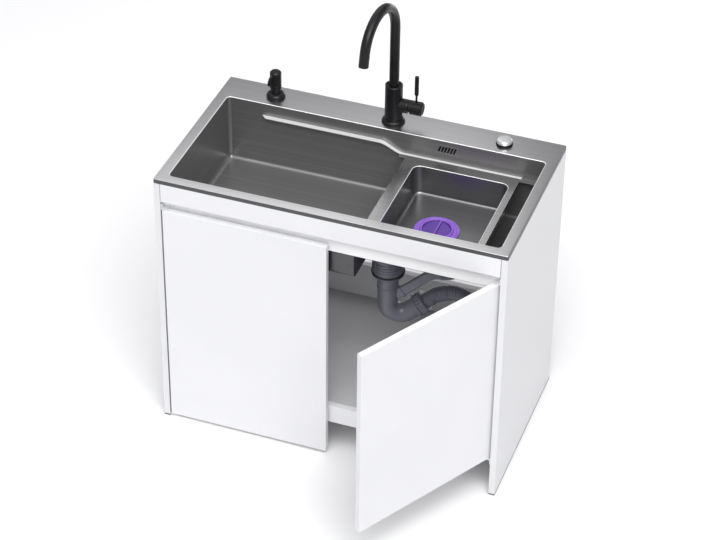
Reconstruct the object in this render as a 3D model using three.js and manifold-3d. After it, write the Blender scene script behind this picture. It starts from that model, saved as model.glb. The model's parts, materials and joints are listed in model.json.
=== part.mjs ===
// Kitchen sink unit: a white two-door cabinet under a pressed steel sink with ledges, a drop-in
// tray, a swivel tap, a soap pump, a pop-up waste worked from the deck, and the waste pipework.
// Millimetres, +Z up, -Y to the front. The origin is the middle of the footprint, on the floor.

import * as THREE from "three";
import { mergeVertices } from "three/addons/utils/BufferGeometryUtils.js";
import Module from "manifold-3d";

const wasm = await Module();
wasm.setup();

// ------------------------------------------------------------------ driving dimensions

// Whole unit
const WIDTH = 1000;
const DEPTH = 550;
const HEIGHT = 830; // floor to the top of the sink's deck
const FIT = 0.3; // gap between pieces that touch

// Cabinet boards
const BOARD = 18;
const BASE_STRIP = 4; // plastic strips under the side panels
const APRON_HEIGHT = 59;
const FINGER_GAP = 28; // between the apron and the door tops
const PULL_RAIL_DROP = 112; // height of the rail behind the finger gap
const PULL_RAIL_SHEET = 4.5;
const FLOOR_TOP = 162; // top of the bottom board
const FRONT_RAIL_HEIGHT = 59;
const BACK_RAIL_LOW_HEIGHT = 115;
const BACK_RAIL_HIGH_HEIGHT = 110;
const FOOT_RADIUS = 25;
const FOOT_PAD = 6;
const FOOT_STEM_RADIUS = 14;

// Doors: they are set in between the side panels and turn on pins
const DOOR_SIDE_GAP = 4;
const DOOR_MIDDLE_GAP = 3;
const LEFT_DOOR_BOTTOM = 9;
const RIGHT_DOOR_BOTTOM = 127;
const RIGHT_DOOR_OPEN = 60; // degrees, as the unit stands
const PIVOT_INSET = 9.5; // pin axis from the door's hinge edge
const PIN_RADIUS = 4;
const PIN_LENGTH = 18;
const PIN_CLEARANCE = 0.4;
const BRACKET_SHEET = 2.5;
const BRACKET_LENGTH = 19;
const BRACKET_GAP = 0.8; // between a bracket and the door edge it carries

// Sink
const SHEET = 1.5;
const DECK_EDGE = 13; // folded edge of the deck
const DECK_CORNER = 4;
const RIM_FRONT = 30;
const RIM_LEFT = 33;
const RIM_RIGHT = 30;
const DECK_BACK = 100; // the strip that carries the fittings
const BOWL_DEPTH = 205;
const BOWL_CORNER = 12;
const BOWL_FILLET = 14;
const SLOPE_X = 67; // right of here the bowl's front wall slopes back over the pipes
const SLOPE_TOP_DROP = 130; // deck to the top of the slope
const SLOPE_RUN = 95; // front of the bowl to the foot of the slope
const LEDGE_WIDTH = 22;
const LEDGE_SHEET = 3;
const LEDGE_HIGH_DROP = 38;
const LEDGE_LOW_DROP = 66;
const LEDGE_START = 104; // bowl's left wall to the tip of the ledges
const LEDGE_BEND_START = -5;
const LEDGE_BEND_END = 58;

// Tray
const TRAY_LEFT = 73;
const TRAY_WIDTH = 331;
const TRAY_LAP = 7; // how far the rim rests on each ledge
const TRAY_SHEET = 1.2;
const TRAY_RIM_LEFT = 37;
const TRAY_RIM_RIGHT = 20;
const TRAY_RIM_ENDS = 33;
const TRAY_DEPTH = 88;
const TRAY_CORNER = 22;
const TRAY_RIM_CORNER = 5;
const TRAY_FILLET = 16;
const TRAY_TAPER = 4;

// Silicone stopper that lies in the tray
const STOPPER_IN = 156; // from the tray's left edge
const STOPPER_Y = -33;
const STOPPER_RADIUS = 63.5;
const STOPPER_CUP_RADIUS = 43;
const STOPPER_SHEET = 3.5;
const STOPPER_RIM_HEIGHT = 9;
const STOPPER_BAR = 14;

// Waste and trap
const WASTE_X = 111;
const WASTE_Y = -88;
const WASTE_FLANGE_RADIUS = 56;
const WASTE_BORE = 38;
const WASTE_WALL = 2;
const WASTE_NECK = 26;
const PLUG_SHEET = 3;
const PLUG_STEM_RADIUS = 4;
const PLUG_STEM_LENGTH = 50;
const GASKET = 4;
const HOUSING_RADIUS = 44;
const HOUSING_WALL = 3;
const HOUSING_LIP_DROP = 95; // bowl's floor to the ring round the housing's lower end
const PIPE_RADIUS = 29;
const PIPE_WALL = 3;
const PIPE_DROP = 119; // bowl's floor to the top of the trap
const BEND_RADIUS = 38;
const BEND_DROP = 247; // bowl's floor to the underside of the bend
const TRAP_HEADING = 20; // degrees the outlet turns to the back
const ARM_RISE = 36; // degrees the outlet arm climbs
const ARM_LENGTH = 42;
const NUT_WALL = 4.5;
const NUT_LENGTH = 26;

// Ribbed waste hose
const HOSE_RADIUS = 22.5;
const HOSE_VALLEY = 20.2;
const HOSE_BORE = 17;
const HOSE_RIB_PITCH = 5.2;
// The hose's way from the nut to the outlet: share of the way across and back, and rise.
const HOSE_ROUTE = [
  [0.38, 0.13, 21],
  [0.66, 0.49, 0],
  [0.86, 0.75, -58],
  [0.96, 0.93, -138],
  [1, 1, -218],
];
const OUTLET_FROM_SIDE = 122;
const OUTLET_Y = -20;
const CONNECTOR_SOCKET = 26;
const CONNECTOR_FLANGE = 37;
const CONNECTOR_DROP = 45;

// Overflow
const OVERFLOW_X = 187;
const OVERFLOW_WIDTH = 54;
const OVERFLOW_HEIGHT = 22;
const OVERFLOW_DROP = 28; // deck to the middle of the slot
const OVERFLOW_BOX_DEPTH = 24;
const OVERFLOW_TUBE_WIDE = 30;
const OVERFLOW_TUBE_THIN = 14;
const OVERFLOW_SPIGOT = 25; // flat side arm on the trap
const OVERFLOW_JOIN_DROP = 30; // top of the trap to the side arm
// The pipe's way: across from the slot, share of the way to the back, height over the bowl's floor.
const OVERFLOW_ROUTE = [
  [51, 0.03, -59],
  [103, 0.145, -49],
  [129, 0.39, -39],
  [119, 0.715, -35],
  [81, 0.96, -27],
  [35, 1.025, 7],
  [7, 1.007, 55],
  [0, 1, 105],
];

// Fittings on the deck, which stand on one line
const FITTINGS_SETBACK = 55; // from the deck's back edge
const TAP_X = 13;
const TAP_RADIUS = 25;
const TAP_HEIGHT = 122;
const TAP_FLANGE_RADIUS = 33;
const TAP_SHANK_RADIUS = 16.5;
const TAP_SHANK_LENGTH = 60;
const SPOUT_RADIUS = 14;
const SPOUT_RISE = 306; // deck to the start of the arc
const SPOUT_ARC_RADIUS = 99;
const SPOUT_ARC_ANGLE = 188;
const SPOUT_HEADING = -5.5; // degrees from straight to the front
const SPOUT_SOCKET = 27;
const VALVE_RISE = 58;
const VALVE_RADIUS = 20;
const VALVE_SEAM = 44; // tap axis to the seam of the handle
const HANDLE_LENGTH = 41;
const HANDLE_SLANT = 12; // degrees that the handle's mouth leans, so that it can tilt
const CARTRIDGE_RADIUS = 15;
const LEVER_OUT = 66; // tap axis to the lever pin
const LEVER_TOP = 161;
const LEVER_RADIUS = 6;
const LEVER_NECK_RADIUS = 3;

const PUMP_FROM_SIDE = 161;
const PUMP_FLANGE_RADIUS = 27;
const PUMP_HEAD_RADIUS = 16.5;
const PUMP_TOP = 88;
const PUMP_TRAVEL = 12;
const PUMP_SHANK_RADIUS = 13;
const PUMP_SHANK_LENGTH = 42;
const PUMP_STEM_RADIUS = 4;
const PUMP_STEM_BELOW = 40; // shank's end to the stem's end
const BOTTLE_RADIUS = 32;
const BOTTLE_HEIGHT = 150;

const KNOB_FROM_SIDE = 163;
const KNOB_RADIUS = 21.5;
const KNOB_TOP = 17;
const KNOB_TRAVEL = 5;
const KNOB_SHANK_RADIUS = 12;
const KNOB_SHANK_LENGTH = 34;
const KNOB_STEM_RADIUS = 5;

// Number of sides of round pieces
const ROUND = 28;
const SMALL_ROUND = 16;

// ------------------------------------------------------------------ worked-out places

const SIDE = WIDTH / 2;
const PANEL_IN = SIDE - BOARD;
const FRONT = -DEPTH / 2;
const BACK = DEPTH / 2;
const CARCASS_TOP = HEIGHT - DECK_EDGE - FIT;
const DOOR_TOP = HEIGHT - DECK_EDGE - APRON_HEIGHT - FINGER_GAP;
const DOOR_EDGE = PANEL_IN - DOOR_SIDE_GAP;
const PIVOT_X = DOOR_EDGE - PIVOT_INSET;
const PIVOT_Y = FRONT + BOARD / 2;
// The corner of a turning door sweeps this far behind the pins.
const RAIL_FRONT = PIVOT_Y + Math.hypot(PIVOT_INSET, BOARD / 2) + DOOR_SIDE_GAP / 4;

const BOWL_LEFT = -SIDE + RIM_LEFT;
const BOWL_RIGHT = SIDE - RIM_RIGHT;
const BOWL_FRONT = FRONT + RIM_FRONT;
const BOWL_BACK = BACK - DECK_BACK;
const BOWL_FLOOR = HEIGHT - BOWL_DEPTH;
const LEDGE_LOW = HEIGHT - LEDGE_LOW_DROP;
const LEDGE_HIGH = HEIGHT - LEDGE_HIGH_DROP;
const TRAY_FLOOR = LEDGE_LOW + FIT + TRAY_SHEET - TRAY_DEPTH;
const LEDGE_LEFT = BOWL_LEFT + LEDGE_START;
const HOUSING_LIP = BOWL_FLOOR - HOUSING_LIP_DROP;
const PIPE_TOP = BOWL_FLOOR - PIPE_DROP;
const BEND_BOTTOM = BOWL_FLOOR - BEND_DROP;
const OUTLET_X = SIDE - OUTLET_FROM_SIDE;
const STOPPER_X = TRAY_LEFT + STOPPER_IN;
const FITTINGS_Y = BACK - FITTINGS_SETBACK;
const PUMP_X = -SIDE + PUMP_FROM_SIDE;
const KNOB_X = SIDE - KNOB_FROM_SIDE;

// ------------------------------------------------------------------ shape helpers

const materials = {
  white: new THREE.MeshStandardMaterial({ color: 0xf3f4f6, roughness: 0.45, metalness: 0 }),
  grey: new THREE.MeshStandardMaterial({ color: 0x55585c, roughness: 0.7, metalness: 0 }),
  steel: new THREE.MeshStandardMaterial({ color: 0x9a999b, roughness: 0.35, metalness: 1 }),
  zinc: new THREE.MeshStandardMaterial({ color: 0xb4b6b8, roughness: 0.4, metalness: 1 }),
  chrome: new THREE.MeshStandardMaterial({ color: 0xdfe1e4, roughness: 0.08, metalness: 1 }),
  black: new THREE.MeshStandardMaterial({ color: 0x161617, roughness: 0.5, metalness: 0.2 }),
  slate: new THREE.MeshStandardMaterial({ color: 0x3d3e49, roughness: 0.5, metalness: 0 }),
  rubber: new THREE.MeshStandardMaterial({ color: 0x1c1c1d, roughness: 0.8, metalness: 0 }),
  purple: new THREE.MeshStandardMaterial({ color: 0x7a55b8, roughness: 0.45, metalness: 0 }),
  clear: new THREE.MeshStandardMaterial({ color: 0xe8eaec, roughness: 0.5, metalness: 0 }),
};

const root = new THREE.Group();
const radians = THREE.MathUtils.degToRad;

// A closed three.js geometry as a solid that can be joined and cut.
function solidOf(geometry) {
  const bare = geometry.index ? geometry.toNonIndexed() : geometry.clone();
  bare.deleteAttribute("normal");
  bare.deleteAttribute("uv");
  const merged = mergeVertices(bare, 1e-4);
  const corners = merged.index.array;
  const kept = [];
  for (let i = 0; i < corners.length; i += 3) {
    const [a, b, c] = [corners[i], corners[i + 1], corners[i + 2]];
    if (a !== b && b !== c && c !== a) kept.push(a, b, c);
  }
  return new wasm.Manifold(
    new wasm.Mesh({
      numProp: 3,
      vertProperties: merged.attributes.position.array,
      triVerts: new Uint32Array(kept),
    }),
  );
}

// The solid as a named mesh, added to a group (the whole unit unless another is given).
function addPiece(name, solid, material, parent = root) {
  const { vertProperties, triVerts } = solid.getMesh();
  const geometry = new THREE.BufferGeometry();
  geometry.setAttribute("position", new THREE.BufferAttribute(vertProperties, 3));
  geometry.setIndex(new THREE.BufferAttribute(triVerts, 1));
  geometry.computeVertexNormals();
  const mesh = new THREE.Mesh(geometry, materials[material]);
  mesh.name = name;
  parent.add(mesh);
  return mesh;
}

function box(x0, x1, y0, y1, z0, z1) {
  const geometry = new THREE.BoxGeometry(x1 - x0, y1 - y0, z1 - z0);
  geometry.translate((x0 + x1) / 2, (y0 + y1) / 2, (z0 + z1) / 2);
  return solidOf(geometry);
}

// A [radius, height] outline turned about the vertical axis, listed up the outside.
function turned(outline, sides = ROUND) {
  const points = outline.map(([r, z]) => new THREE.Vector2(r, z));
  const geometry = new THREE.LatheGeometry(points, sides);
  geometry.rotateX(Math.PI / 2);
  return solidOf(geometry);
}

function cylinder(radius, z0, z1, sides = SMALL_ROUND) {
  return turned([[0, z0], [radius, z0], [radius, z1], [0, z1]], sides);
}

// A ring whose outline is closed on itself away from the axis.
function turnedRing(outline, sides = ROUND) {
  return turned([...outline, outline[0]], sides);
}

// A flat outline of [across, up] points pushed along X, or along Y.
function pushedAlongX(outline, x0, x1) {
  const shape = new THREE.Shape(outline.map(([y, z]) => new THREE.Vector2(y, z)));
  const geometry = new THREE.ExtrudeGeometry(shape, { depth: x1 - x0, bevelEnabled: false });
  const basis = new THREE.Matrix4().makeBasis(
    new THREE.Vector3(0, 1, 0),
    new THREE.Vector3(0, 0, 1),
    new THREE.Vector3(1, 0, 0),
  );
  geometry.applyMatrix4(basis);
  geometry.translate(x0, 0, 0);
  return solidOf(geometry);
}

function pushedAlongY(outline, y0, y1) {
  const shape = new THREE.Shape(outline.map(([x, z]) => new THREE.Vector2(x, z)));
  const geometry = new THREE.ExtrudeGeometry(shape, { depth: y1 - y0, bevelEnabled: false });
  geometry.rotateX(Math.PI / 2);
  geometry.translate(0, y1, 0);
  return solidOf(geometry);
}

// Points round a rectangle with round corners, seen from above and turning left.
function roundedRing(x0, x1, y0, y1, radius, z, steps = 5) {
  const r = Math.max(radius, 0.5);
  const corners = [
    [x1 - r, y0 + r, -90],
    [x1 - r, y1 - r, 0],
    [x0 + r, y1 - r, 90],
    [x0 + r, y0 + r, 180],
  ];
  const ring = [];
  for (const [cx, cy, start] of corners) {
    for (let i = 0; i <= steps; i++) {
      const angle = radians(start + (90 * i) / steps);
      ring.push(new THREE.Vector3(cx + r * Math.cos(angle), cy + r * Math.sin(angle), z));
    }
  }
  return ring;
}

// A skin over rings of equal count. It closes with flat ends, or runs back into its first ring.
function skinOver(rings, looped = false) {
  const count = rings[0].length;
  const points = rings.flat();
  const faces = [];
  const last = looped ? rings.length : rings.length - 1;
  for (let k = 0; k < last; k++) {
    const low = k * count;
    const high = ((k + 1) % rings.length) * count;
    for (let i = 0; i < count; i++) {
      const j = (i + 1) % count;
      faces.push(low + i, low + j, high + j, low + i, high + j, high + i);
    }
  }
  if (!looped) {
    const top = (rings.length - 1) * count;
    for (let i = 1; i < count - 1; i++) {
      faces.push(0, i + 1, i, top, top + i, top + i + 1);
    }
  }
  const geometry = new THREE.BufferGeometry().setFromPoints(points);
  geometry.setIndex(faces);
  return solidOf(geometry);
}

// A basin's inside: straight walls, rounded upright corners and a rounded foot. A positive
// skin gives its outside.
function basin({ x0, x1, y0, y1, top, floor, corner, fillet, taper = 0, skin = 0 }) {
  const steps = 5;
  const rings = [];
  const radius = fillet + skin;
  for (let i = 0; i <= steps; i++) {
    const angle = (Math.PI / 2) * (i / steps);
    const inset = taper + radius * (1 - Math.sin(angle)) - skin;
    const z = floor - skin + radius * (1 - Math.cos(angle));
    const turn = corner + skin - radius * (1 - Math.sin(angle));
    rings.push(roundedRing(x0 + inset, x1 - inset, y0 + inset, y1 - inset, turn, z));
  }
  rings.push(roundedRing(x0 - skin, x1 + skin, y0 - skin, y1 + skin, corner + skin, top));
  return skinOver(rings);
}

// A rod or pipe of round section along a path, its ends square to the path.
function pipe(path, radius, steps, sides = SMALL_ROUND) {
  const shape = new THREE.Shape();
  shape.absarc(0, 0, radius, 0, 2 * Math.PI);
  const geometry = new THREE.ExtrudeGeometry(shape, {
    extrudePath: path,
    steps,
    curveSegments: sides / 2,
    bevelEnabled: false,
  });
  return solidOf(geometry);
}

// An upright solid laid along a direction from a point: its Z axis goes along the direction.
function laidAlong(solid, point, direction) {
  const turn = new THREE.Quaternion().setFromUnitVectors(
    new THREE.Vector3(0, 0, 1),
    direction.clone().normalize(),
  );
  const matrix = new THREE.Matrix4().compose(point, turn, new THREE.Vector3(1, 1, 1));
  return solid.transform(matrix.elements);
}

// ------------------------------------------------------------------ cabinet

function addSidePanels() {
  for (const [side, name] of [[-1, "left"], [1, "right"]]) {
    const x0 = side < 0 ? -SIDE : PANEL_IN;
    const panel = box(x0, x0 + BOARD, FRONT, BACK, BASE_STRIP + FIT, CARCASS_TOP);
    addPiece(`side_panel_${name}`, panel, "white");
    addPiece(`base_strip_${name}`, box(x0, x0 + BOARD, FRONT, BACK, 0, BASE_STRIP), "grey");
  }
}

function addRails() {
  const x = PANEL_IN - FIT;
  const apronBottom = CARCASS_TOP - APRON_HEIGHT + FIT;
  addPiece("front_apron", box(-x, x, FRONT, FRONT + BOARD, apronBottom, CARCASS_TOP), "white");

  const pullBack = RAIL_FRONT + PULL_RAIL_SHEET;
  const pullFlange = CARCASS_TOP - PULL_RAIL_SHEET;
  const pull = pushedAlongX(
    [
      [RAIL_FRONT, CARCASS_TOP - PULL_RAIL_DROP],
      [pullBack, CARCASS_TOP - PULL_RAIL_DROP],
      [pullBack, CARCASS_TOP],
      [FRONT + BOARD + FIT, CARCASS_TOP],
      [FRONT + BOARD + FIT, pullFlange],
      [RAIL_FRONT, pullFlange],
    ],
    -x,
    x,
  );
  addPiece("finger_pull_rail", pull, "white");

  const railBack = RAIL_FRONT + BOARD;
  const railBottom = FLOOR_TOP - FRONT_RAIL_HEIGHT;
  addPiece("bottom_front_rail", box(-x, x, RAIL_FRONT, railBack, railBottom, FLOOR_TOP), "white");
  addPiece(
    "back_rail_lower",
    box(-x, x, BACK - BOARD, BACK, FLOOR_TOP + FIT, FLOOR_TOP + BACK_RAIL_LOW_HEIGHT),
    "white",
  );
  addPiece(
    "back_rail_upper",
    box(-x, x, BACK - BOARD, BACK, CARCASS_TOP - BACK_RAIL_HIGH_HEIGHT, CARCASS_TOP),
    "white",
  );
}

function addBottomBoard() {
  const x = PANEL_IN - FIT;
  const y0 = RAIL_FRONT + BOARD + FIT;
  const hole = cylinder(CONNECTOR_SOCKET + FIT, 0, FLOOR_TOP * 2, ROUND)
    .translate([OUTLET_X, OUTLET_Y, 0]);
  const board = box(-x, x, y0, BACK, FLOOR_TOP - BOARD, FLOOR_TOP).subtract(hole);
  addPiece("bottom_board", board, "white");

  const foot = turned([
    [0, 0],
    [FOOT_RADIUS, 0],
    [FOOT_RADIUS, FOOT_PAD],
    [FOOT_STEM_RADIUS, FOOT_PAD * 2],
    [FOOT_STEM_RADIUS, FLOOR_TOP - BOARD - FIT],
    [0, FLOOR_TOP - BOARD - FIT],
  ]);
  addPiece("centre_foot", foot, "grey");
}

// A door seen closed, in the frame of its pins: x runs from the hinge edge to the free edge.
function doorBoard(bottom) {
  const width = DOOR_EDGE - DOOR_MIDDLE_GAP / 2;
  const board = box(-PIVOT_INSET, width - PIVOT_INSET, -BOARD / 2, BOARD / 2, bottom, DOOR_TOP);
  const hole = PIN_RADIUS + PIN_CLEARANCE;
  const depth = PIN_LENGTH + PIN_CLEARANCE;
  return board
    .subtract(cylinder(hole, bottom - 1, bottom + depth))
    .subtract(cylinder(hole, DOOR_TOP - depth, DOOR_TOP + 1));
}

// A bracket is a folded plate on the side panel whose pin stands in the door's edge.
function pivotBracket(edge, up) {
  const z0 = edge - up * BRACKET_GAP;
  const z1 = z0 - up * BRACKET_SHEET;
  const leafHeight = up > 0 ? Math.min(BOARD, edge - BRACKET_GAP - FIT) : BOARD;
  const z2 = z0 - up * leafHeight;
  const wall = -(PIVOT_INSET + DOOR_SIDE_GAP - FIT);
  const span = (a, b) => [Math.min(a, b), Math.max(a, b)];
  const reach = PIN_RADIUS + BRACKET_SHEET;
  const plate = box(wall, reach, -reach, BRACKET_LENGTH - reach, ...span(z0, z1));
  const leaf = box(wall, wall + BRACKET_SHEET, -reach, BRACKET_LENGTH - reach, ...span(z0, z2));
  const pin = cylinder(PIN_RADIUS, ...span(z1, z0 + up * (PIN_LENGTH - BRACKET_GAP)));
  return plate.add(leaf).add(pin);
}

function addDoors() {
  const doors = [
    { name: "left", side: -1, bottom: LEFT_DOOR_BOTTOM, open: 0 },
    { name: "right", side: 1, bottom: RIGHT_DOOR_BOTTOM, open: RIGHT_DOOR_OPEN },
  ];
  for (const { name, side, bottom, open } of doors) {
    const hinge = new THREE.Group();
    hinge.position.set(side * PIVOT_X, PIVOT_Y, 0);
    hinge.rotation.z = side * radians(open);
    root.add(hinge);
    const mirror = [-side, 1, 1];
    addPiece(`door_${name}`, doorBoard(bottom).scale(mirror), "white", hinge);
    const place = [side * PIVOT_X, PIVOT_Y, 0];
    const low = pivotBracket(bottom, 1).scale(mirror).translate(place);
    const high = pivotBracket(DOOR_TOP, -1).scale(mirror).translate(place);
    addPiece(`pivot_bracket_${name}_lower`, low, "zinc");
    addPiece(`pivot_bracket_${name}_upper`, high, "zinc");
  }
}

// ------------------------------------------------------------------ sink and tray

// The wedge cut from the bowl's lower front right, where the wall slopes back over the pipes.
// A skin moves it into the bowl by the sheet's thickness.
function slopeWedge(skin) {
  const top = HEIGHT - SLOPE_TOP_DROP;
  const outerFront = BOWL_FRONT - SHEET;
  const outerFloor = BOWL_FLOOR - SHEET;
  const foot = outerFront + SLOPE_RUN;
  const fall = (top - outerFloor) / SLOPE_RUN;
  const lift = skin * Math.hypot(1, fall);
  const beyond = BOWL_DEPTH;
  return pushedAlongX(
    [
      [outerFront - beyond, top + beyond * fall + lift],
      [outerFront - beyond, outerFloor - beyond * fall + lift],
      [foot + beyond, outerFloor - beyond * fall + lift],
    ],
    SLOPE_X - skin,
    BOWL_RIGHT + beyond,
  );
}

function bowl(skin) {
  return basin({
    x0: BOWL_LEFT,
    x1: BOWL_RIGHT,
    y0: BOWL_FRONT,
    y1: BOWL_BACK,
    top: skin ? HEIGHT - SHEET / 2 : HEIGHT + SHEET,
    floor: BOWL_FLOOR,
    corner: BOWL_CORNER,
    fillet: BOWL_FILLET,
    skin,
  }).subtract(slopeWedge(SHEET - skin));
}

function deck() {
  const rings = (inset, low, high) => [
    roundedRing(-SIDE + inset, SIDE - inset, FRONT + inset, BACK - inset, DECK_CORNER - inset, low),
    roundedRing(-SIDE + inset, SIDE - inset, FRONT + inset, BACK - inset, DECK_CORNER - inset, high),
  ];
  const outside = skinOver(rings(0, HEIGHT - DECK_EDGE, HEIGHT));
  const hollow = skinOver(rings(SHEET, HEIGHT - DECK_EDGE - SHEET, HEIGHT - SHEET));
  return outside.subtract(hollow);
}

function addSink() {
  const hole = (x, radius) => cylinder(radius, HEIGHT - DECK_EDGE, HEIGHT + SHEET, ROUND)
    .translate([x, FITTINGS_Y, 0]);
  const wasteHole = cylinder(WASTE_BORE + WASTE_WALL + 2, BOWL_FLOOR - 20, BOWL_FLOOR + 20, ROUND)
    .translate([WASTE_X, WASTE_Y, 0]);
  const slotZ = HEIGHT - OVERFLOW_DROP;
  const slot = box(
    OVERFLOW_X - OVERFLOW_WIDTH / 2,
    OVERFLOW_X + OVERFLOW_WIDTH / 2,
    BOWL_BACK - SHEET,
    BOWL_BACK + 2 * SHEET,
    slotZ - OVERFLOW_HEIGHT / 2,
    slotZ + OVERFLOW_HEIGHT / 2,
  );
  const sink = deck()
    .add(bowl(SHEET))
    .subtract(bowl(0))
    .subtract(hole(TAP_X, TAP_SHANK_RADIUS + 0.5))
    .subtract(hole(PUMP_X, PUMP_SHANK_RADIUS + 0.5))
    .subtract(hole(KNOB_X, KNOB_SHANK_RADIUS + 0.5))
    .subtract(wasteHole)
    .subtract(slot);
  addPiece("sink", sink, "steel");
}

// A ledge is a strip of sheet bent in an S from its high run to its low run. Its left end is
// cut to a point against the wall.
function ledge() {
  const steps = 10;
  const line = [[LEDGE_LEFT, LEDGE_HIGH]];
  for (let i = 0; i <= steps; i++) {
    const along = i / steps;
    const ease = (1 - Math.cos(Math.PI * along)) / 2;
    const x = LEDGE_BEND_START + (LEDGE_BEND_END - LEDGE_BEND_START) * along;
    line.push([x, LEDGE_HIGH - (LEDGE_HIGH - LEDGE_LOW) * ease]);
  }
  line.push([BOWL_RIGHT - BOWL_CORNER, LEDGE_LOW]);
  const under = line.map(([x, z]) => [x, z - LEDGE_SHEET]).reverse();
  const strip = pushedAlongY([...line, ...under], FIT, LEDGE_WIDTH);
  const point = new THREE.Shape([
    new THREE.Vector2(LEDGE_LEFT - 1, -1),
    new THREE.Vector2(LEDGE_LEFT + LEDGE_WIDTH + 1, LEDGE_WIDTH + 1),
    new THREE.Vector2(LEDGE_LEFT - 1, LEDGE_WIDTH + 1),
  ]);
  const corner = new THREE.ExtrudeGeometry(point, { depth: HEIGHT, bevelEnabled: false });
  return strip.subtract(solidOf(corner));
}

function addLedges() {
  addPiece("ledge_rear", ledge().scale([1, -1, 1]).translate([0, BOWL_BACK, 0]), "steel");
  addPiece("ledge_front", ledge().translate([0, BOWL_FRONT, 0]), "steel");
}

function addTray() {
  const y1 = BOWL_BACK - LEDGE_WIDTH + TRAY_LAP;
  const y0 = BOWL_FRONT + LEDGE_WIDTH - TRAY_LAP;
  const x1 = TRAY_LEFT + TRAY_WIDTH;
  const rimLow = LEDGE_LOW + FIT;
  const rimTop = rimLow + TRAY_SHEET;
  const rim = skinOver([
    roundedRing(TRAY_LEFT, x1, y0, y1, TRAY_RIM_CORNER, rimLow),
    roundedRing(TRAY_LEFT, x1, y0, y1, TRAY_RIM_CORNER, rimTop),
  ]);
  const opening = {
    x0: TRAY_LEFT + TRAY_RIM_LEFT,
    x1: x1 - TRAY_RIM_RIGHT,
    y0: y0 + TRAY_RIM_ENDS,
    y1: y1 - TRAY_RIM_ENDS,
    floor: TRAY_FLOOR,
    corner: TRAY_CORNER,
    fillet: TRAY_FILLET,
    taper: TRAY_TAPER,
  };
  const outside = basin({ ...opening, top: rimLow + TRAY_SHEET / 2, skin: TRAY_SHEET });
  const inside = basin({ ...opening, top: rimTop + TRAY_SHEET });
  addPiece("tray", rim.add(outside).subtract(inside), "steel");
}

function addStopper() {
  const z0 = TRAY_FLOOR + FIT;
  const sheetTop = z0 + STOPPER_SHEET;
  const rimTop = z0 + STOPPER_RIM_HEIGHT;
  const cup = STOPPER_CUP_RADIUS;
  const dish = turned([
    [0, z0],
    [STOPPER_RADIUS - 2, z0],
    [STOPPER_RADIUS, z0 + 1.5],
    [STOPPER_RADIUS - 1, sheetTop],
    [cup + 14, sheetTop + 1],
    [cup + 12, sheetTop],
    [cup + 4, sheetTop + 1],
    [cup + 2, rimTop],
    [cup - 2, rimTop],
    [cup - 5, sheetTop],
    [0, sheetTop],
  ]);
  const reach = cup - 3;
  const bar = box(-STOPPER_BAR / 2, STOPPER_BAR / 2, -reach, reach, z0 + 1, rimTop - 1);
  addPiece("sink_stopper", dish.add(bar).translate([STOPPER_X, STOPPER_Y, 0]), "purple");
}

function addSinkClips() {
  const reach = 7;
  const height = 45;
  const half = 15;
  const top = HEIGHT - SHEET - FIT;
  const wall = PANEL_IN - FIT;
  for (const [side, name] of [[-1, "left"], [1, "right"]]) {
    for (const [y, end] of [[FRONT + DEPTH / 5, "front"], [BACK - DEPTH / 5, "rear"]]) {
      const leaf = box(wall - BRACKET_SHEET, wall, y - half, y + half, top - height, top);
      const tab = box(wall - reach, wall, y - half, y + half, top - BRACKET_SHEET, top);
      const clip = leaf.add(tab).scale([side, 1, 1]);
      addPiece(`sink_clip_${name}_${end}`, clip, "zinc");
    }
  }
}

// ------------------------------------------------------------------ waste, trap and hose

const wastePlace = [WASTE_X, WASTE_Y, 0];
const HOUSING_TOP = BOWL_FLOOR - SHEET - FIT - GASKET - FIT;

function addWaste() {
  const z = BOWL_FLOOR + FIT;
  const neck = WASTE_BORE + WASTE_WALL;
  const ring = turnedRing([
    [WASTE_BORE, z - WASTE_NECK],
    [neck, z - WASTE_NECK],
    [neck, z],
    [WASTE_FLANGE_RADIUS, z],
    [WASTE_FLANGE_RADIUS - 1, z + 1],
    [WASTE_BORE + 5, z + 2.2],
    [WASTE_BORE, z - 1],
  ]);
  // Two bars cross the neck and carry the hub that guides the plug's stem.
  const barWidth = 3;
  const hubRadius = PLUG_STEM_RADIUS + 4;
  const low = z - WASTE_NECK;
  const reach = WASTE_BORE + WASTE_WALL / 2;
  const bars = box(-reach, reach, -barWidth, barWidth, low, low + barWidth)
    .add(box(-barWidth, barWidth, -reach, reach, low, low + barWidth))
    .add(cylinder(hubRadius, low, low + 2 * barWidth))
    .subtract(cylinder(PLUG_STEM_RADIUS + 0.4, low - 1, low + 3 * barWidth));
  addPiece("waste_flange", ring.add(bars).translate(wastePlace), "chrome");

  const plugRadius = WASTE_BORE - 0.6;
  const plug = turned([
    [0, z - PLUG_STEM_LENGTH],
    [PLUG_STEM_RADIUS, z - PLUG_STEM_LENGTH],
    [PLUG_STEM_RADIUS, z - PLUG_SHEET],
    [plugRadius, z - PLUG_SHEET],
    [plugRadius, z],
    [plugRadius - 3, z + 2],
    [0, z + 3.5],
  ]);
  addPiece("waste_plug", plug.translate(wastePlace), "chrome");

  const gasketTop = BOWL_FLOOR - SHEET - FIT;
  const gasket = turnedRing([
    [neck + 2.5, gasketTop - GASKET],
    [WASTE_FLANGE_RADIUS, gasketTop - GASKET],
    [WASTE_FLANGE_RADIUS, gasketTop],
    [neck + 2.5, gasketTop],
  ]);
  addPiece("waste_gasket", gasket.translate(wastePlace), "rubber");
}

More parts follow.
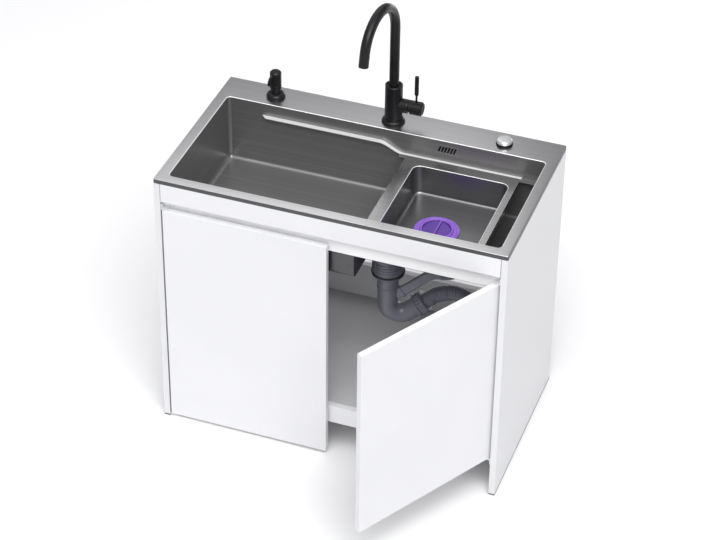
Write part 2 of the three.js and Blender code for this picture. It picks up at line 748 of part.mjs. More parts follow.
function addWasteHousing() {
  const bore = HOUSING_RADIUS - HOUSING_WALL;
  const flangeDrop = 7;
  const lip = 6;
  const outletBore = PIPE_RADIUS - PIPE_WALL;
  const housing = turnedRing([
    [outletBore, PIPE_TOP + FIT],
    [PIPE_RADIUS + 1, PIPE_TOP + FIT],
    [HOUSING_RADIUS - 4, HOUSING_LIP - lip],
    [HOUSING_RADIUS + 2.5, HOUSING_LIP - lip],
    [HOUSING_RADIUS + 2.5, HOUSING_LIP],
    [HOUSING_RADIUS, HOUSING_LIP + 2],
    [HOUSING_RADIUS, HOUSING_TOP - flangeDrop],
    [WASTE_FLANGE_RADIUS, HOUSING_TOP - flangeDrop],
    [WASTE_FLANGE_RADIUS, HOUSING_TOP],
    [bore, HOUSING_TOP],
    [bore, HOUSING_LIP + lip],
    [outletBore, PIPE_TOP + 3 * lip],
  ]);
  addPiece("waste_housing", housing.translate(wastePlace), "slate");
}

// The trap's middle line: straight down, round the bend and up the outlet arm. It can run
// beyond both ends, to cut the bore.
const heading = new THREE.Vector3(1, 0, 0)
  .applyAxisAngle(new THREE.Vector3(0, 0, 1), radians(TRAP_HEADING));
const bendZ = BEND_BOTTOM + PIPE_RADIUS + BEND_RADIUS;

function trapPoint(along, z) {
  return new THREE.Vector3(WASTE_X, WASTE_Y, z).addScaledVector(heading, along);
}

const armDirection = heading
  .clone()
  .multiplyScalar(Math.cos(radians(ARM_RISE)))
  .add(new THREE.Vector3(0, 0, Math.sin(radians(ARM_RISE))));
const armStart = trapPoint(
  BEND_RADIUS * (1 + Math.sin(radians(ARM_RISE))),
  bendZ - BEND_RADIUS * Math.cos(radians(ARM_RISE)),
);
const armEnd = armStart.clone().addScaledVector(armDirection, ARM_LENGTH);

function trapPath(beyond = 0) {
  const path = new THREE.CurvePath();
  path.add(new THREE.LineCurve3(trapPoint(0, PIPE_TOP + beyond), trapPoint(0, bendZ)));
  const sweep = Math.PI / 2 + radians(ARM_RISE);
  const bend = new THREE.Curve();
  bend.getPoint = (t) => trapPoint(
    BEND_RADIUS * (1 - Math.cos(sweep * t)),
    bendZ - BEND_RADIUS * Math.sin(sweep * t),
  );
  path.add(bend);
  const end = armEnd.clone().addScaledVector(armDirection, beyond);
  path.add(new THREE.LineCurve3(armStart, end));
  return path;
}

// The overflow pipe joins the trap on a flat spigot on its side.
const overflowDirection = new THREE.Vector3(0.73, 0.06, 0.68).normalize();
const overflowJoin = new THREE.Vector3(
  WASTE_X + PIPE_RADIUS - PIPE_WALL,
  WASTE_Y,
  PIPE_TOP - OVERFLOW_JOIN_DROP,
);

// A flat section with round edges at a point of a path. It stays level where the path is level.
function flatSection(point, tangent, wide, thin, sides = 16) {
  const thinWay = tangent.clone().cross(new THREE.Vector3(1, 0, 0)).normalize();
  const wideWay = thinWay.clone().cross(tangent).normalize();
  const ring = [];
  for (let i = 0; i < sides; i++) {
    const angle = (2 * Math.PI * (i + 0.5)) / sides;
    const end = Math.sign(Math.cos(angle)) * (wide - thin) / 2;
    const across = end + (thin / 2) * Math.cos(angle);
    const up = (thin / 2) * Math.sin(angle);
    ring.push(point.clone().addScaledVector(wideWay, across).addScaledVector(thinWay, up));
  }
  return ring;
}

function addTrap() {
  const steps = 22;
  const outside = pipe(trapPath(), PIPE_RADIUS, steps);
  const inside = pipe(trapPath(PIPE_WALL), PIPE_RADIUS - PIPE_WALL, steps);
  const spigot = skinOver([0, OVERFLOW_SPIGOT].map((far) => flatSection(
    overflowJoin.clone().addScaledVector(overflowDirection, far),
    overflowDirection,
    OVERFLOW_TUBE_WIDE,
    OVERFLOW_TUBE_THIN,
  )));
  addPiece("trap_bend", outside.add(spigot).subtract(inside), "slate");

  const inner = PIPE_RADIUS + FIT;
  const outer = PIPE_RADIUS + NUT_WALL;
  const nut = turnedRing([
    [inner, -NUT_LENGTH / 2],
    [outer + 1.5, -NUT_LENGTH / 2],
    [outer + 1.5, -NUT_LENGTH / 2 + 5],
    [outer - 2, -NUT_LENGTH / 2 + 6],
    [outer - 2, NUT_LENGTH / 2 - 7],
    [outer, NUT_LENGTH / 2 - 6],
    [outer, NUT_LENGTH / 2 - 1],
    [outer - 3, NUT_LENGTH / 2 + 2],
    [HOSE_RADIUS + FIT, NUT_LENGTH / 2 + 2],
    [HOSE_RADIUS + FIT, FIT],
    [inner, FIT],
  ]);
  addPiece("trap_nut", laidAlong(nut, armEnd, armDirection), "slate");
}

// The hose's middle line, from the nut over a rise and down to the connector in the floor.
const HOSE_START_RUN = 2 * HOSE_RADIUS;
const connectorTop = FLOOR_TOP + FIT;
const socketFloor = connectorTop + 4;

function hosePath() {
  const start = armEnd.clone().addScaledVector(armDirection, 2 * FIT);
  const straight = start.clone().addScaledVector(armDirection, HOSE_START_RUN / 2);
  const free = start.clone().addScaledVector(armDirection, HOSE_START_RUN);
  const route = HOSE_ROUTE.map(([across, back, rise]) => new THREE.Vector3(
    free.x + (OUTLET_X - free.x) * across,
    free.y + (OUTLET_Y - free.y) * back,
    free.z + rise,
  ));
  return new THREE.CatmullRomCurve3(
    [
      start,
      straight,
      free,
      ...route,
      new THREE.Vector3(OUTLET_X, OUTLET_Y, socketFloor + HOSE_START_RUN),
      new THREE.Vector3(OUTLET_X, OUTLET_Y, socketFloor + FIT),
    ],
    false,
    "centripetal",
  );
}

// Each rib is a crest ring and a valley ring. The bore has a ring at every fifth rib.
function ribbedHose(path) {
  const sides = 8;
  const ribsPerBoreRing = 5;
  const groups = Math.round(path.getLength() / HOSE_RIB_PITCH / ribsPerBoreRing);
  const count = groups * ribsPerBoreRing;
  const frames = path.computeFrenetFrames(2 * count, false);
  const ring = (k, radius) => {
    const middle = path.getPointAt(k / (2 * count));
    const points = [];
    for (let i = 0; i < sides; i++) {
      const angle = (2 * Math.PI * i) / sides;
      points.push(
        middle
          .clone()
          .addScaledVector(frames.normals[k], radius * Math.cos(angle))
          .addScaledVector(frames.binormals[k], radius * Math.sin(angle)),
      );
    }
    return points;
  };
  const rings = [];
  for (let k = 0; k <= 2 * count; k++) {
    rings.push(ring(k, k % 2 ? HOSE_RADIUS : HOSE_VALLEY));
  }
  for (let k = 2 * count; k >= 0; k -= 2 * ribsPerBoreRing) {
    rings.push(ring(k, HOSE_BORE));
  }
  return skinOver(rings, true);
}

function addHose() {
  addPiece("waste_hose", ribbedHose(hosePath()), "slate");
  const socket = HOSE_RADIUS + FIT;
  const through = HOSE_VALLEY - 1;
  const connector = turnedRing([
    [through, FLOOR_TOP - CONNECTOR_DROP],
    [CONNECTOR_SOCKET, FLOOR_TOP - CONNECTOR_DROP],
    [CONNECTOR_SOCKET, connectorTop],
    [CONNECTOR_FLANGE, connectorTop],
    [CONNECTOR_FLANGE, connectorTop + 3],
    [CONNECTOR_SOCKET, socketFloor + 1],
    [CONNECTOR_SOCKET, socketFloor + HOSE_RADIUS],
    [socket, socketFloor + HOSE_RADIUS],
    [socket, socketFloor],
    [through, socketFloor],
  ]);
  addPiece("hose_connector", connector.translate([OUTLET_X, OUTLET_Y, 0]), "slate");
}

// ------------------------------------------------------------------ overflow

function addOverflow() {
  const z = HEIGHT - OVERFLOW_DROP;
  const lap = 4;
  const halfWide = OVERFLOW_WIDTH / 2;
  const halfHigh = OVERFLOW_HEIGHT / 2;
  const plateY = BOWL_BACK - FIT;
  const wide = halfWide + lap;
  const high = halfHigh + lap;
  let grille = box(-wide, wide, plateY - SHEET, plateY, z - high, z + high);
  const slots = 7;
  const pitch = OVERFLOW_WIDTH / slots;
  for (let i = 0; i < slots; i++) {
    const x = -halfWide + pitch * (i + 0.5);
    const half = pitch * 0.3;
    const tall = halfHigh - 2;
    const cut = box(x - half, x + half, plateY - 2 * SHEET, plateY + SHEET, z - tall, z + tall);
    grille = grille.subtract(cut);
  }
  addPiece("overflow_grille", grille.translate([OVERFLOW_X, 0, 0]), "steel");

  const boxFront = BOWL_BACK + SHEET + FIT;
  const boxBack = boxFront + OVERFLOW_BOX_DEPTH;
  const wall = 2.5;
  const top = z + halfHigh + lap;
  const low = z - halfHigh - 3 * lap;
  const housing = box(-halfWide - 2 * lap, halfWide + 2 * lap, boxFront, boxBack, low, top)
    .subtract(box(-halfWide, halfWide, boxFront - 1, boxBack - wall, z - halfHigh, z + halfHigh));
  addPiece("overflow_box", housing.translate([OVERFLOW_X, 0, 0]), "slate");

  // The pipe climbs from the trap, passes under the bowl and goes up behind it.
  const rise = (far) => overflowJoin.clone().addScaledVector(overflowDirection, far);
  const behind = boxFront + OVERFLOW_BOX_DEPTH / 2;
  const route = OVERFLOW_ROUTE.map(([across, back, height]) => new THREE.Vector3(
    OVERFLOW_X + across,
    WASTE_Y + (behind - WASTE_Y) * back,
    BOWL_FLOOR + height,
  ));
  const path = new THREE.CatmullRomCurve3(
    [
      rise(OVERFLOW_SPIGOT + FIT),
      rise(OVERFLOW_SPIGOT + 30),
      rise(OVERFLOW_SPIGOT + 66),
      ...route,
      new THREE.Vector3(OVERFLOW_X, behind, low - FIT),
    ],
    false,
    "centripetal",
  );
  const steps = 33;
  const rings = [];
  for (let i = 0; i <= steps; i++) {
    const middle = path.getPointAt(i / steps);
    const tangent = path.getTangentAt(i / steps);
    rings.push(flatSection(middle, tangent, OVERFLOW_TUBE_WIDE, OVERFLOW_TUBE_THIN));
  }
  addPiece("overflow_pipe", skinOver(rings), "slate");
}

// ------------------------------------------------------------------ tap

function addTap() {
  const base = HEIGHT + FIT;
  const place = [TAP_X, FITTINGS_Y, 0];

  const flange = turnedRing([
    [TAP_RADIUS + FIT, base],
    [TAP_FLANGE_RADIUS, base],
    [TAP_FLANGE_RADIUS, base + 3],
    [TAP_FLANGE_RADIUS - 1, base + 7],
    [TAP_FLANGE_RADIUS - 4, base + 10],
    [TAP_RADIUS + FIT, base + 12],
  ]);
  addPiece("tap_flange", flange.translate(place), "black");

  const top = HEIGHT + TAP_HEIGHT;
  const socketLow = top - SPOUT_SOCKET;
  const column = turned([
    [0, base],
    [TAP_RADIUS, base],
    [TAP_RADIUS, top - 4],
    [TAP_RADIUS - 1.2, top - 1.2],
    [TAP_RADIUS - 4, top],
    [SPOUT_RADIUS + 4, top],
    [SPOUT_RADIUS + 3, top - 4],
    [SPOUT_RADIUS + FIT, top - 4],
    [SPOUT_RADIUS + FIT, socketLow],
    [0, socketLow],
  ]);
  const valveZ = HEIGHT + VALVE_RISE;
  const alongX = new THREE.Vector3(1, 0, 0);
  const valveMiddle = new THREE.Vector3(0, 0, valveZ);
  const neck = laidAlong(cylinder(VALVE_RADIUS, 0, VALVE_SEAM, ROUND), valveMiddle, alongX);
  const neckBore = cylinder(CARTRIDGE_RADIUS + FIT, VALVE_SEAM - 12, VALVE_SEAM + 1, ROUND);
  const body = column.add(neck).subtract(laidAlong(neckBore, valveMiddle, alongX));
  addPiece("tap_body", body.translate(place), "black");

  const cartridge = cylinder(CARTRIDGE_RADIUS, VALVE_SEAM - 12 + FIT, VALVE_SEAM + 8, ROUND);
  addPiece("tap_cartridge", laidAlong(cartridge, valveMiddle, alongX).translate(place), "zinc");

  const mouth = VALVE_SEAM + 0.8;
  const end = mouth + HANDLE_LENGTH;
  const boreEnd = VALVE_SEAM + 17;
  const cap = turned([
    [0, mouth],
    [VALVE_RADIUS, mouth],
    [VALVE_RADIUS, end - 4],
    [VALVE_RADIUS - 1.2, end - 1.2],
    [VALVE_RADIUS - 4, end],
    [0, end],
  ]).subtract(cylinder(CARTRIDGE_RADIUS + 2.5, mouth - 1, boreEnd, ROUND));
  const slant = Math.tan(radians(HANDLE_SLANT));
  const drop = 2 * VALVE_RADIUS;
  const mouthCut = pushedAlongY(
    [
      [mouth - 1, valveZ + VALVE_RADIUS],
      [mouth - 1, valveZ - drop],
      [mouth + (drop + VALVE_RADIUS) * slant, valveZ - drop],
      [mouth, valveZ + VALVE_RADIUS],
    ],
    -drop,
    drop,
  );
  const socketDepth = 12;
  const holeLow = valveZ + VALVE_RADIUS - socketDepth;
  const leverHole = cylinder(LEVER_NECK_RADIUS + FIT, holeLow, valveZ + 2 * VALVE_RADIUS)
    .translate([LEVER_OUT, 0, 0]);
  const handle = laidAlong(cap, valveMiddle, alongX).subtract(mouthCut).subtract(leverHole);
  addPiece("tap_handle", handle.translate(place), "black");

  const leverFoot = holeLow + 1;
  const shoulder = HEIGHT + LEVER_TOP - 58;
  const leverTop = HEIGHT + LEVER_TOP;
  const lever = turned(
    [
      [0, leverFoot],
      [LEVER_NECK_RADIUS, leverFoot],
      [LEVER_NECK_RADIUS, shoulder - 6],
      [LEVER_RADIUS, shoulder],
      [LEVER_RADIUS, leverTop - 1.5],
      [LEVER_RADIUS - 1.5, leverTop],
      [0, leverTop],
    ],
    SMALL_ROUND,
  );
  addPiece("tap_lever", lever.translate([TAP_X + LEVER_OUT, FITTINGS_Y, 0]), "black");

  const shank = cylinder(TAP_SHANK_RADIUS, HEIGHT - TAP_SHANK_LENGTH, HEIGHT);
  addPiece("tap_shank", shank.translate(place), "zinc");
  const nutHeight = 12;
  const nutLow = HEIGHT - SHEET - FIT - nutHeight;
  const nut = hexNut(TAP_SHANK_RADIUS, 26, nutHeight);
  addPiece("tap_nut", nut.translate([TAP_X, FITTINGS_Y, nutLow]), "zinc");
}

// A six-sided nut round a shank, standing on z = 0.
function hexNut(shank, halfWidth, height) {
  const body = turned([[0, 0], [halfWidth, 0], [halfWidth, height], [0, height]], 6);
  return body.subtract(cylinder(shank + FIT, -1, height + 1, ROUND));
}

// The spout's middle line: up from the socket, then over in a half circle.
function addSpout() {
  const foot = HEIGHT + TAP_HEIGHT - SPOUT_SOCKET + FIT;
  const arcStart = HEIGHT + SPOUT_RISE;
  const forward = new THREE.Vector3(0, -1, 0)
    .applyAxisAngle(new THREE.Vector3(0, 0, 1), radians(SPOUT_HEADING));
  const at = (reach, z) => new THREE.Vector3(TAP_X, FITTINGS_Y, z).addScaledVector(forward, reach);
  const sweep = radians(SPOUT_ARC_ANGLE);
  const arc = new THREE.Curve();
  arc.getPoint = (t) => at(
    SPOUT_ARC_RADIUS * (1 - Math.cos(sweep * t)),
    arcStart + SPOUT_ARC_RADIUS * Math.sin(sweep * t),
  );
  const path = new THREE.CurvePath();
  path.add(new THREE.LineCurve3(at(0, foot), at(0, arcStart)));
  path.add(arc);
  const end = arc.getPoint(1);
  const out = forward
    .clone()
    .multiplyScalar(Math.sin(sweep))
    .add(new THREE.Vector3(0, 0, Math.cos(sweep)));
  const boreDepth = 14;
  const bore = laidAlong(cylinder(SPOUT_RADIUS - 2.5, -boreDepth, 2, ROUND), end, out);
  const steps = 38;
  addPiece("tap_spout", pipe(path, SPOUT_RADIUS, steps).subtract(bore), "black");

  const aeratorRadius = SPOUT_RADIUS - 2.5 - FIT;
  let aerator = turned([
    [0, -boreDepth + FIT],
    [aeratorRadius, -boreDepth + FIT],
    [aeratorRadius, 1],
    [aeratorRadius - 2, 1],
    [aeratorRadius - 2, -1],
    [0, -1],
  ], SMALL_ROUND);
  aerator = laidAlong(aerator, end, out);
  addPiece("tap_aerator", aerator, "black");
}

// ------------------------------------------------------------------ soap pump and waste knob

function addSoapPump() {
  const base = HEIGHT + FIT;
  const place = [PUMP_X, FITTINGS_Y, 0];
  const neckRadius = PUMP_HEAD_RADIUS - 2.6;
  const flangeTop = base + 16;
  const headLow = flangeTop + PUMP_TRAVEL + 3;
  const neckTop = headLow + 16;
  const shankLow = HEIGHT - PUMP_SHANK_LENGTH;
  const stemRadius = PUMP_STEM_RADIUS;
  const wellRadius = neckRadius + 0.4;
  const collar = turned([
    [0, shankLow],
    [PUMP_SHANK_RADIUS, shankLow],
    [PUMP_SHANK_RADIUS, base],
    [PUMP_FLANGE_RADIUS, base],
    [PUMP_FLANGE_RADIUS, base + 5],
    [PUMP_FLANGE_RADIUS - 1.5, base + 10],
    [PUMP_FLANGE_RADIUS - 5, base + 14],
    [neckRadius + 3, flangeTop],
    [wellRadius, flangeTop],
    [wellRadius, base + 2.5],
    [0, base + 2.5],
  ]).subtract(cylinder(stemRadius + 0.4, shankLow - 1, base + 4));
  addPiece("pump_collar", collar.translate(place), "black");

  // The stem carries a wide neck, which slides down into the collar's well.
  const headTop = HEIGHT + PUMP_TOP;
  const capDepth = headTop - 12;
  const stemTop = capDepth + 6;
  const stemLow = shankLow - PUMP_STEM_BELOW;
  const neckLow = flangeTop - 1;
  const stem = turned([
    [0, stemLow],
    [stemRadius, stemLow],
    [stemRadius, neckLow],
    [neckRadius, neckLow],
    [neckRadius, neckTop],
    [stemRadius, neckTop],
    [stemRadius, stemTop],
    [0, stemTop],
  ], SMALL_ROUND);
  addPiece("pump_stem", stem.translate(place), "black");

  const head = turned([
    [0, capDepth],
    [neckRadius + 0.5, capDepth],
    [neckRadius + 0.5, headLow],
    [PUMP_HEAD_RADIUS - 0.6, headLow],
    [PUMP_HEAD_RADIUS, headLow + 1],
    [PUMP_HEAD_RADIUS, headTop - 4],
    [PUMP_HEAD_RADIUS - 1.5, headTop - 1.5],
    [PUMP_HEAD_RADIUS - 4, headTop],
    [0, headTop],
  ]);
  // The beak leaves the head half way up and points down to the front left.
  const beakHeading = radians(-130);
  const beakAt = (reach, z) => new THREE.Vector3(
    reach * Math.cos(beakHeading),
    reach * Math.sin(beakHeading),
    HEIGHT + z,
  );
  const beak = new THREE.CatmullRomCurve3([
    beakAt(0, 80),
    beakAt(14, 78),
    beakAt(24, 72),
    beakAt(31, 60),
    beakAt(34, 50),
  ]);
  const hollow = cylinder(neckRadius + 0.5, headLow - 1, capDepth, ROUND);
  const socket = cylinder(stemRadius + FIT, capDepth - 1, stemTop + FIT);
  const headSolid = head.add(pipe(beak, 4.5, 10, 12)).subtract(hollow).subtract(socket);
  addPiece("pump_head", headSolid.translate(place), "black");

  const nutTop = HEIGHT - SHEET - FIT;
  const nut = hexNut(PUMP_SHANK_RADIUS, 22, 10).translate([PUMP_X, FITTINGS_Y, nutTop - 10]);
  addPiece("pump_nut", nut, "slate");

  const bottleTop = shankLow + 10;
  const shoulder = bottleTop - 18;
  const low = bottleTop - BOTTLE_HEIGHT;
  const bottle = turned([
    [0, low],
    [BOTTLE_RADIUS - 3, low],
    [BOTTLE_RADIUS, low + 3],
    [BOTTLE_RADIUS, shoulder - 10],
    [BOTTLE_RADIUS - 6, shoulder - 2],
    [PUMP_SHANK_RADIUS + 3, shoulder],
    [PUMP_SHANK_RADIUS + 3, bottleTop],
    [PUMP_SHANK_RADIUS + FIT, bottleTop],
    [PUMP_SHANK_RADIUS + FIT, shankLow - FIT],
    [stemRadius + 2, shankLow - FIT],
    [stemRadius + 2, stemLow - PUMP_TRAVEL - 5],
    [0, stemLow - PUMP_TRAVEL - 5],
  ]);
  addPiece("soap_bottle", bottle.translate(place), "clear");
}

function addKnob() {
  const base = HEIGHT + FIT;
  const place = [KNOB_X, FITTINGS_Y, 0];
  const wallRadius = KNOB_RADIUS + 2;
  const bore = KNOB_RADIUS + 0.4;
  const cupFloor = base + 1;
  const cupTop = base + 9;
  const stemRadius = KNOB_STEM_RADIUS;
  const shankLow = HEIGHT - KNOB_SHANK_LENGTH;
  const cup = turned([
    [0, shankLow],
    [KNOB_SHANK_RADIUS, shankLow],
    [KNOB_SHANK_RADIUS, base],
    [wallRadius - 0.8, base],
    [wallRadius, base + 1],
    [wallRadius, cupTop],
    [bore, cupTop],
    [bore, cupFloor],
    [0, cupFloor],
  ]).subtract(cylinder(stemRadius + 0.4, shankLow - 1, base + 2));
  addPiece("knob_base", cup.translate(place), "black");

  const low = cupFloor + KNOB_TRAVEL + 0.5;
  const top = HEIGHT + KNOB_TOP;
  const knob = turned([
    [0, shankLow - 8],
    [stemRadius, shankLow - 8],
    [stemRadius, low],
    [KNOB_RADIUS, low],
    [KNOB_RADIUS, top - 3.5],
    [KNOB_RADIUS - 0.9, top - 2],
    [KNOB_RADIUS - 3, top - 1],
    [KNOB_RADIUS / 2, top],
    [0, top + 0.4],
  ]);
  addPiece("waste_knob", knob.translate(place), "chrome");

  const nutTop = HEIGHT - SHEET - FIT;
  const nutHeight = 8;
  const nut = hexNut(KNOB_SHANK_RADIUS, 20, nutHeight);
  addPiece("knob_nut", nut.translate([KNOB_X, FITTINGS_Y, nutTop - nutHeight]), "zinc");

  const housingTop = shankLow - FIT;
  const housing = turned([
    [0, housingTop - 40],
    [12, housingTop - 40],
    [16, housingTop - 30],
    [16, housingTop],
    [0, housingTop],
  ]).subtract(cylinder(stemRadius + 0.6, housingTop - 20, housingTop + 1));
  addPiece("knob_housing", housing.translate(place), "slate");
}

// ------------------------------------------------------------------ the whole unit

addSidePanels();
addRails();
addBottomBoard();
addDoors();
addSink();
addLedges();
addTray();
addStopper();
addSinkClips();
addWaste();
addWasteHousing();
addTrap();
addHose();
addOverflow();
addTap();
addSpout();
addSoapPump();
addKnob();

export default root;
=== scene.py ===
import json
import math

import bmesh
import bpy
from mathutils import Matrix, Vector


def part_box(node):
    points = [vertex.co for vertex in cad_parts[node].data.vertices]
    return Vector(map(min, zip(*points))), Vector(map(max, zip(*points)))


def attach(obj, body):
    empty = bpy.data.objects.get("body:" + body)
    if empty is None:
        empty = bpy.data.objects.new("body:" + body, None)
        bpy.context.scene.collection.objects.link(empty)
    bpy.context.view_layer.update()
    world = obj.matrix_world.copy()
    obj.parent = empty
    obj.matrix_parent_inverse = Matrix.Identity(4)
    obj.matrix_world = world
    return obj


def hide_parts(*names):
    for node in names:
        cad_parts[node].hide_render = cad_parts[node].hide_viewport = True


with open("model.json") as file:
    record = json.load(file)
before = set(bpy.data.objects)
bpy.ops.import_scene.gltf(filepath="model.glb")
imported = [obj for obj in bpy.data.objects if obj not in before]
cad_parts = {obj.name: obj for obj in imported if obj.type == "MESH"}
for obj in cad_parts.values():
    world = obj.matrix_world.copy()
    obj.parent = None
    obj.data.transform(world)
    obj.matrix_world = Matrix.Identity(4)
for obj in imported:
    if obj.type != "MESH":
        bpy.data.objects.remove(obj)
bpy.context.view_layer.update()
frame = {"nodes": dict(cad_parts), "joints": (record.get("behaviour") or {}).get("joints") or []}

# Kitchen sink unit, from the cabinet up. Sizes are in millimetres where nothing else is said.


# ------------------------------------------------------------------ camera, floor and light
# The unit stands on a white studio floor and is seen from the front right, well above the
# deck, through a long lens. A broad ceiling light and three soft panels light it: one in
# front, one over the back and one low behind.

CAMERA_PLACE = Vector((1.766, -5.026, 4.484))  # metres
CAMERA_TURN = 19.45  # degrees to the left of straight back
CAMERA_DIP = 36.7
CAMERA_ROLL = -0.72
LENS = 119.2
FRAME_DROP = -0.0208  # share of the picture's width

turn, dip, roll = (math.radians(a) for a in (CAMERA_TURN, CAMERA_DIP, CAMERA_ROLL))
ahead = Vector((-math.sin(turn) * math.cos(dip), math.cos(turn) * math.cos(dip), -math.sin(dip)))
level_right = Vector((math.cos(turn), math.sin(turn), 0))
level_down = ahead.cross(level_right)
camera_right = level_right * math.cos(roll) + level_down * math.sin(roll)
camera_up = camera_right.cross(ahead)


def in_scene(name, data):
    """A new object of the scene."""
    made = bpy.data.objects.new(name, data)
    bpy.context.scene.collection.objects.link(made)
    return made


camera_data = bpy.data.cameras.new("camera")
camera_data.sensor_width = 36
camera_data.lens = LENS
camera_data.shift_y = FRAME_DROP
camera_data.clip_end = 200
camera = in_scene("camera", camera_data)
camera.matrix_world = Matrix.Translation(CAMERA_PLACE) @ Matrix(
    (camera_right, camera_up, -ahead)
).transposed().to_4x4()
bpy.context.scene.camera = camera
bpy.context.scene.view_settings.view_transform = "Standard"


def soft_panel(name, place, target, width, height, power):
    """A studio light: an evenly lit rectangle that faces a point. Places in metres."""
    light = bpy.data.lights.new(name, "AREA")
    light.shape = "RECTANGLE"
    light.size, light.size_y = width, height
    light.energy = power
    made = in_scene(name, light)
    made.location = place
    facing = Vector(target) - Vector(place)
    made.rotation_euler = facing.to_track_quat("-Z", "Y").to_euler()


soft_panel("key_panel", (1.0, -1.8, 3.3), (0, 0, 0.4), 1.8, 1.2, 38)
soft_panel("back_panel", (-1.0, 1.15, 2.5), (-0.3, -0.1, 0.83), 2.3, 1.1, 9)
soft_panel("rear_fill", (0.5, 3.2, 0.6), (0, 0.2, 0.45), 2.4, 0.8, 12)

day = bpy.data.lights.new("ceiling_light", "SUN")
day.energy = 2.1
day.angle = math.radians(60)
day_way = Vector((-0.25, 0.6, -1))
in_scene("ceiling_light", day).rotation_euler = day_way.to_track_quat("-Z", "Y").to_euler()

world = bpy.data.worlds.new("studio")
bpy.context.scene.world = world
world.use_nodes = True
sky = world.node_tree
background = sky.nodes["Background"]
axes = sky.nodes.new("ShaderNodeSeparateXYZ")
sky.links.new(sky.nodes.new("ShaderNodeTexCoord").outputs["Generated"], axes.inputs[0])


def sky_ramp(axis, stops):
    """Grey tones of the studio's walls along an axis, by the sine of the angle."""
    ramp = sky.nodes.new("ShaderNodeValToRGB")
    spread = sky.nodes.new("ShaderNodeMapRange")
    spread.inputs["From Min"].default_value = -1
    sky.links.new(axes.outputs[axis], spread.inputs["Value"])
    sky.links.new(spread.outputs[0], ramp.inputs[0])
    ramp.color_ramp.elements[0].position = (stops[0][0] + 1) / 2
    ramp.color_ramp.elements[1].position = (stops[-1][0] + 1) / 2
    for place, _ in stops[1:-1]:
        ramp.color_ramp.elements.new((place + 1) / 2)
    for element, (place, tone) in zip(ramp.color_ramp.elements, stops):
        element.color = (tone, tone, tone * 1.02, 1)
    return ramp


height_tones = sky_ramp("Z", ((0, 0.6), (0.3, 0.5), (0.6, 0.42), (0.9, 0.78)))
depth_tones = sky_ramp("Y", ((-0.4, 1.0), (0.2, 0.8), (0.7, 0.75)))
wall_tones = sky.nodes.new("ShaderNodeVectorMath")
wall_tones.operation = "MULTIPLY"
sky.links.new(height_tones.outputs[0], wall_tones.inputs[0])
sky.links.new(depth_tones.outputs[0], wall_tones.inputs[1])
sky.links.new(wall_tones.outputs[0], background.inputs["Color"])
background.inputs["Strength"].default_value = 0.8

FLOOR_HALF = 40  # metres
floor_mesh = bpy.data.meshes.new("studio_floor")
floor_mesh.from_pydata(
    [(x, y, 0) for x, y in ((-1, -1), (1, -1), (1, 1), (-1, 1))], [], [(0, 1, 2, 3)]
)
floor_mesh.transform(Matrix.Scale(FLOOR_HALF, 4))
floor_paint = bpy.data.materials.new("floor_paint")
floor_paint.use_nodes = True
floor_shader = floor_paint.node_tree.nodes["Principled BSDF"]
floor_shader.inputs["Base Color"].default_value = (0.9, 0.9, 0.902, 1)
floor_shader.inputs["Roughness"].default_value = 0.6
floor_mesh.materials.append(floor_paint)
floor = in_scene("studio_floor", floor_mesh)
floor.location.z = -0.0005


# ------------------------------------------------------------------ side panels
# Two 18 mm boards, sprayed with satin white lacquer over their banded edges. Their lacquer is
# a darker copy as painted shade, their inner faces darker still as painted shade. Each stands on a
# grey plastic strip that keeps its lower edge off a wet floor.


def span(node):
    """Lowest and highest corner of a piece of the frame, in millimetres."""
    low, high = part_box(node)
    return low * 1000, high * 1000


def block(low, high):
    """A plain box between two corners, as (points, faces)."""
    (x0, y0, z0), (x1, y1, z1) = low, high
    points = [(x, y, z) for z in (z0, z1) for x, y in ((x0, y0), (x1, y0), (x1, y1), (x0, y1))]
    faces = [(3, 2, 1, 0), (4, 5, 6, 7), (0, 1, 5, 4), (1, 2, 6, 5), (2, 3, 7, 6), (3, 0, 4, 7)]
    return points, faces


def outward_mesh(name, points, faces):
    """A mesh of points and faces, with all faces looking outwards."""
    mesh = bpy.data.meshes.new(name)
    mesh.from_pydata(points, [], faces)
    work = bmesh.new()
    work.from_mesh(mesh)
    bmesh.ops.recalc_face_normals(work, faces=work.faces)
    work.to_mesh(mesh)
    work.free()
    return mesh


def softened(shape, width, steps=2):
    """The shape with its sharp edges rounded over, as a maker breaks an edge."""
    mesh = outward_mesh("edges", *shape)
    work = bmesh.new()
    work.from_mesh(mesh)
    bpy.data.meshes.remove(mesh)
    limit = math.radians(30)
    edges = [e for e in work.edges if e.is_manifold and e.calc_face_angle(0) > limit]
    bmesh.ops.bevel(
        work, geom=edges, offset=width, segments=steps, profile=0.5, affect="EDGES",
        clamp_overlap=True,
    )
    work.verts.index_update()
    points = [tuple(v.co) for v in work.verts]
    faces = [tuple(v.index for v in f.verts) for f in work.faces]
    work.free()
    return points, faces


def piece(name, shape, body, finish, stands_for=None, sharp=32):
    """A shape in millimetres as an object that rides on a body and stands for a CAD piece."""
    points, faces = shape
    mesh = outward_mesh(name, [Vector(p) / 1000 for p in points], faces)
    mesh.polygons.foreach_set("use_smooth", [True] * len(mesh.polygons))
    mesh.set_sharp_from_angle(angle=math.radians(sharp))
    mesh.materials.append(finish)
    made = in_scene(name, mesh)
    made.modifiers.new("even_shading", "WEIGHTED_NORMAL").keep_sharp = True
    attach(made, body)
    if stands_for:
        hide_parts(stands_for)
    return made


def part_finish(made, finish, chosen):
    """Some faces of a piece carry another finish. They are chosen by middle (mm) and normal."""
    made.data.materials.append(finish)
    for face in made.data.polygons:
        if chosen(face.center * 1000, face.normal):
            face.material_index = len(made.data.materials) - 1


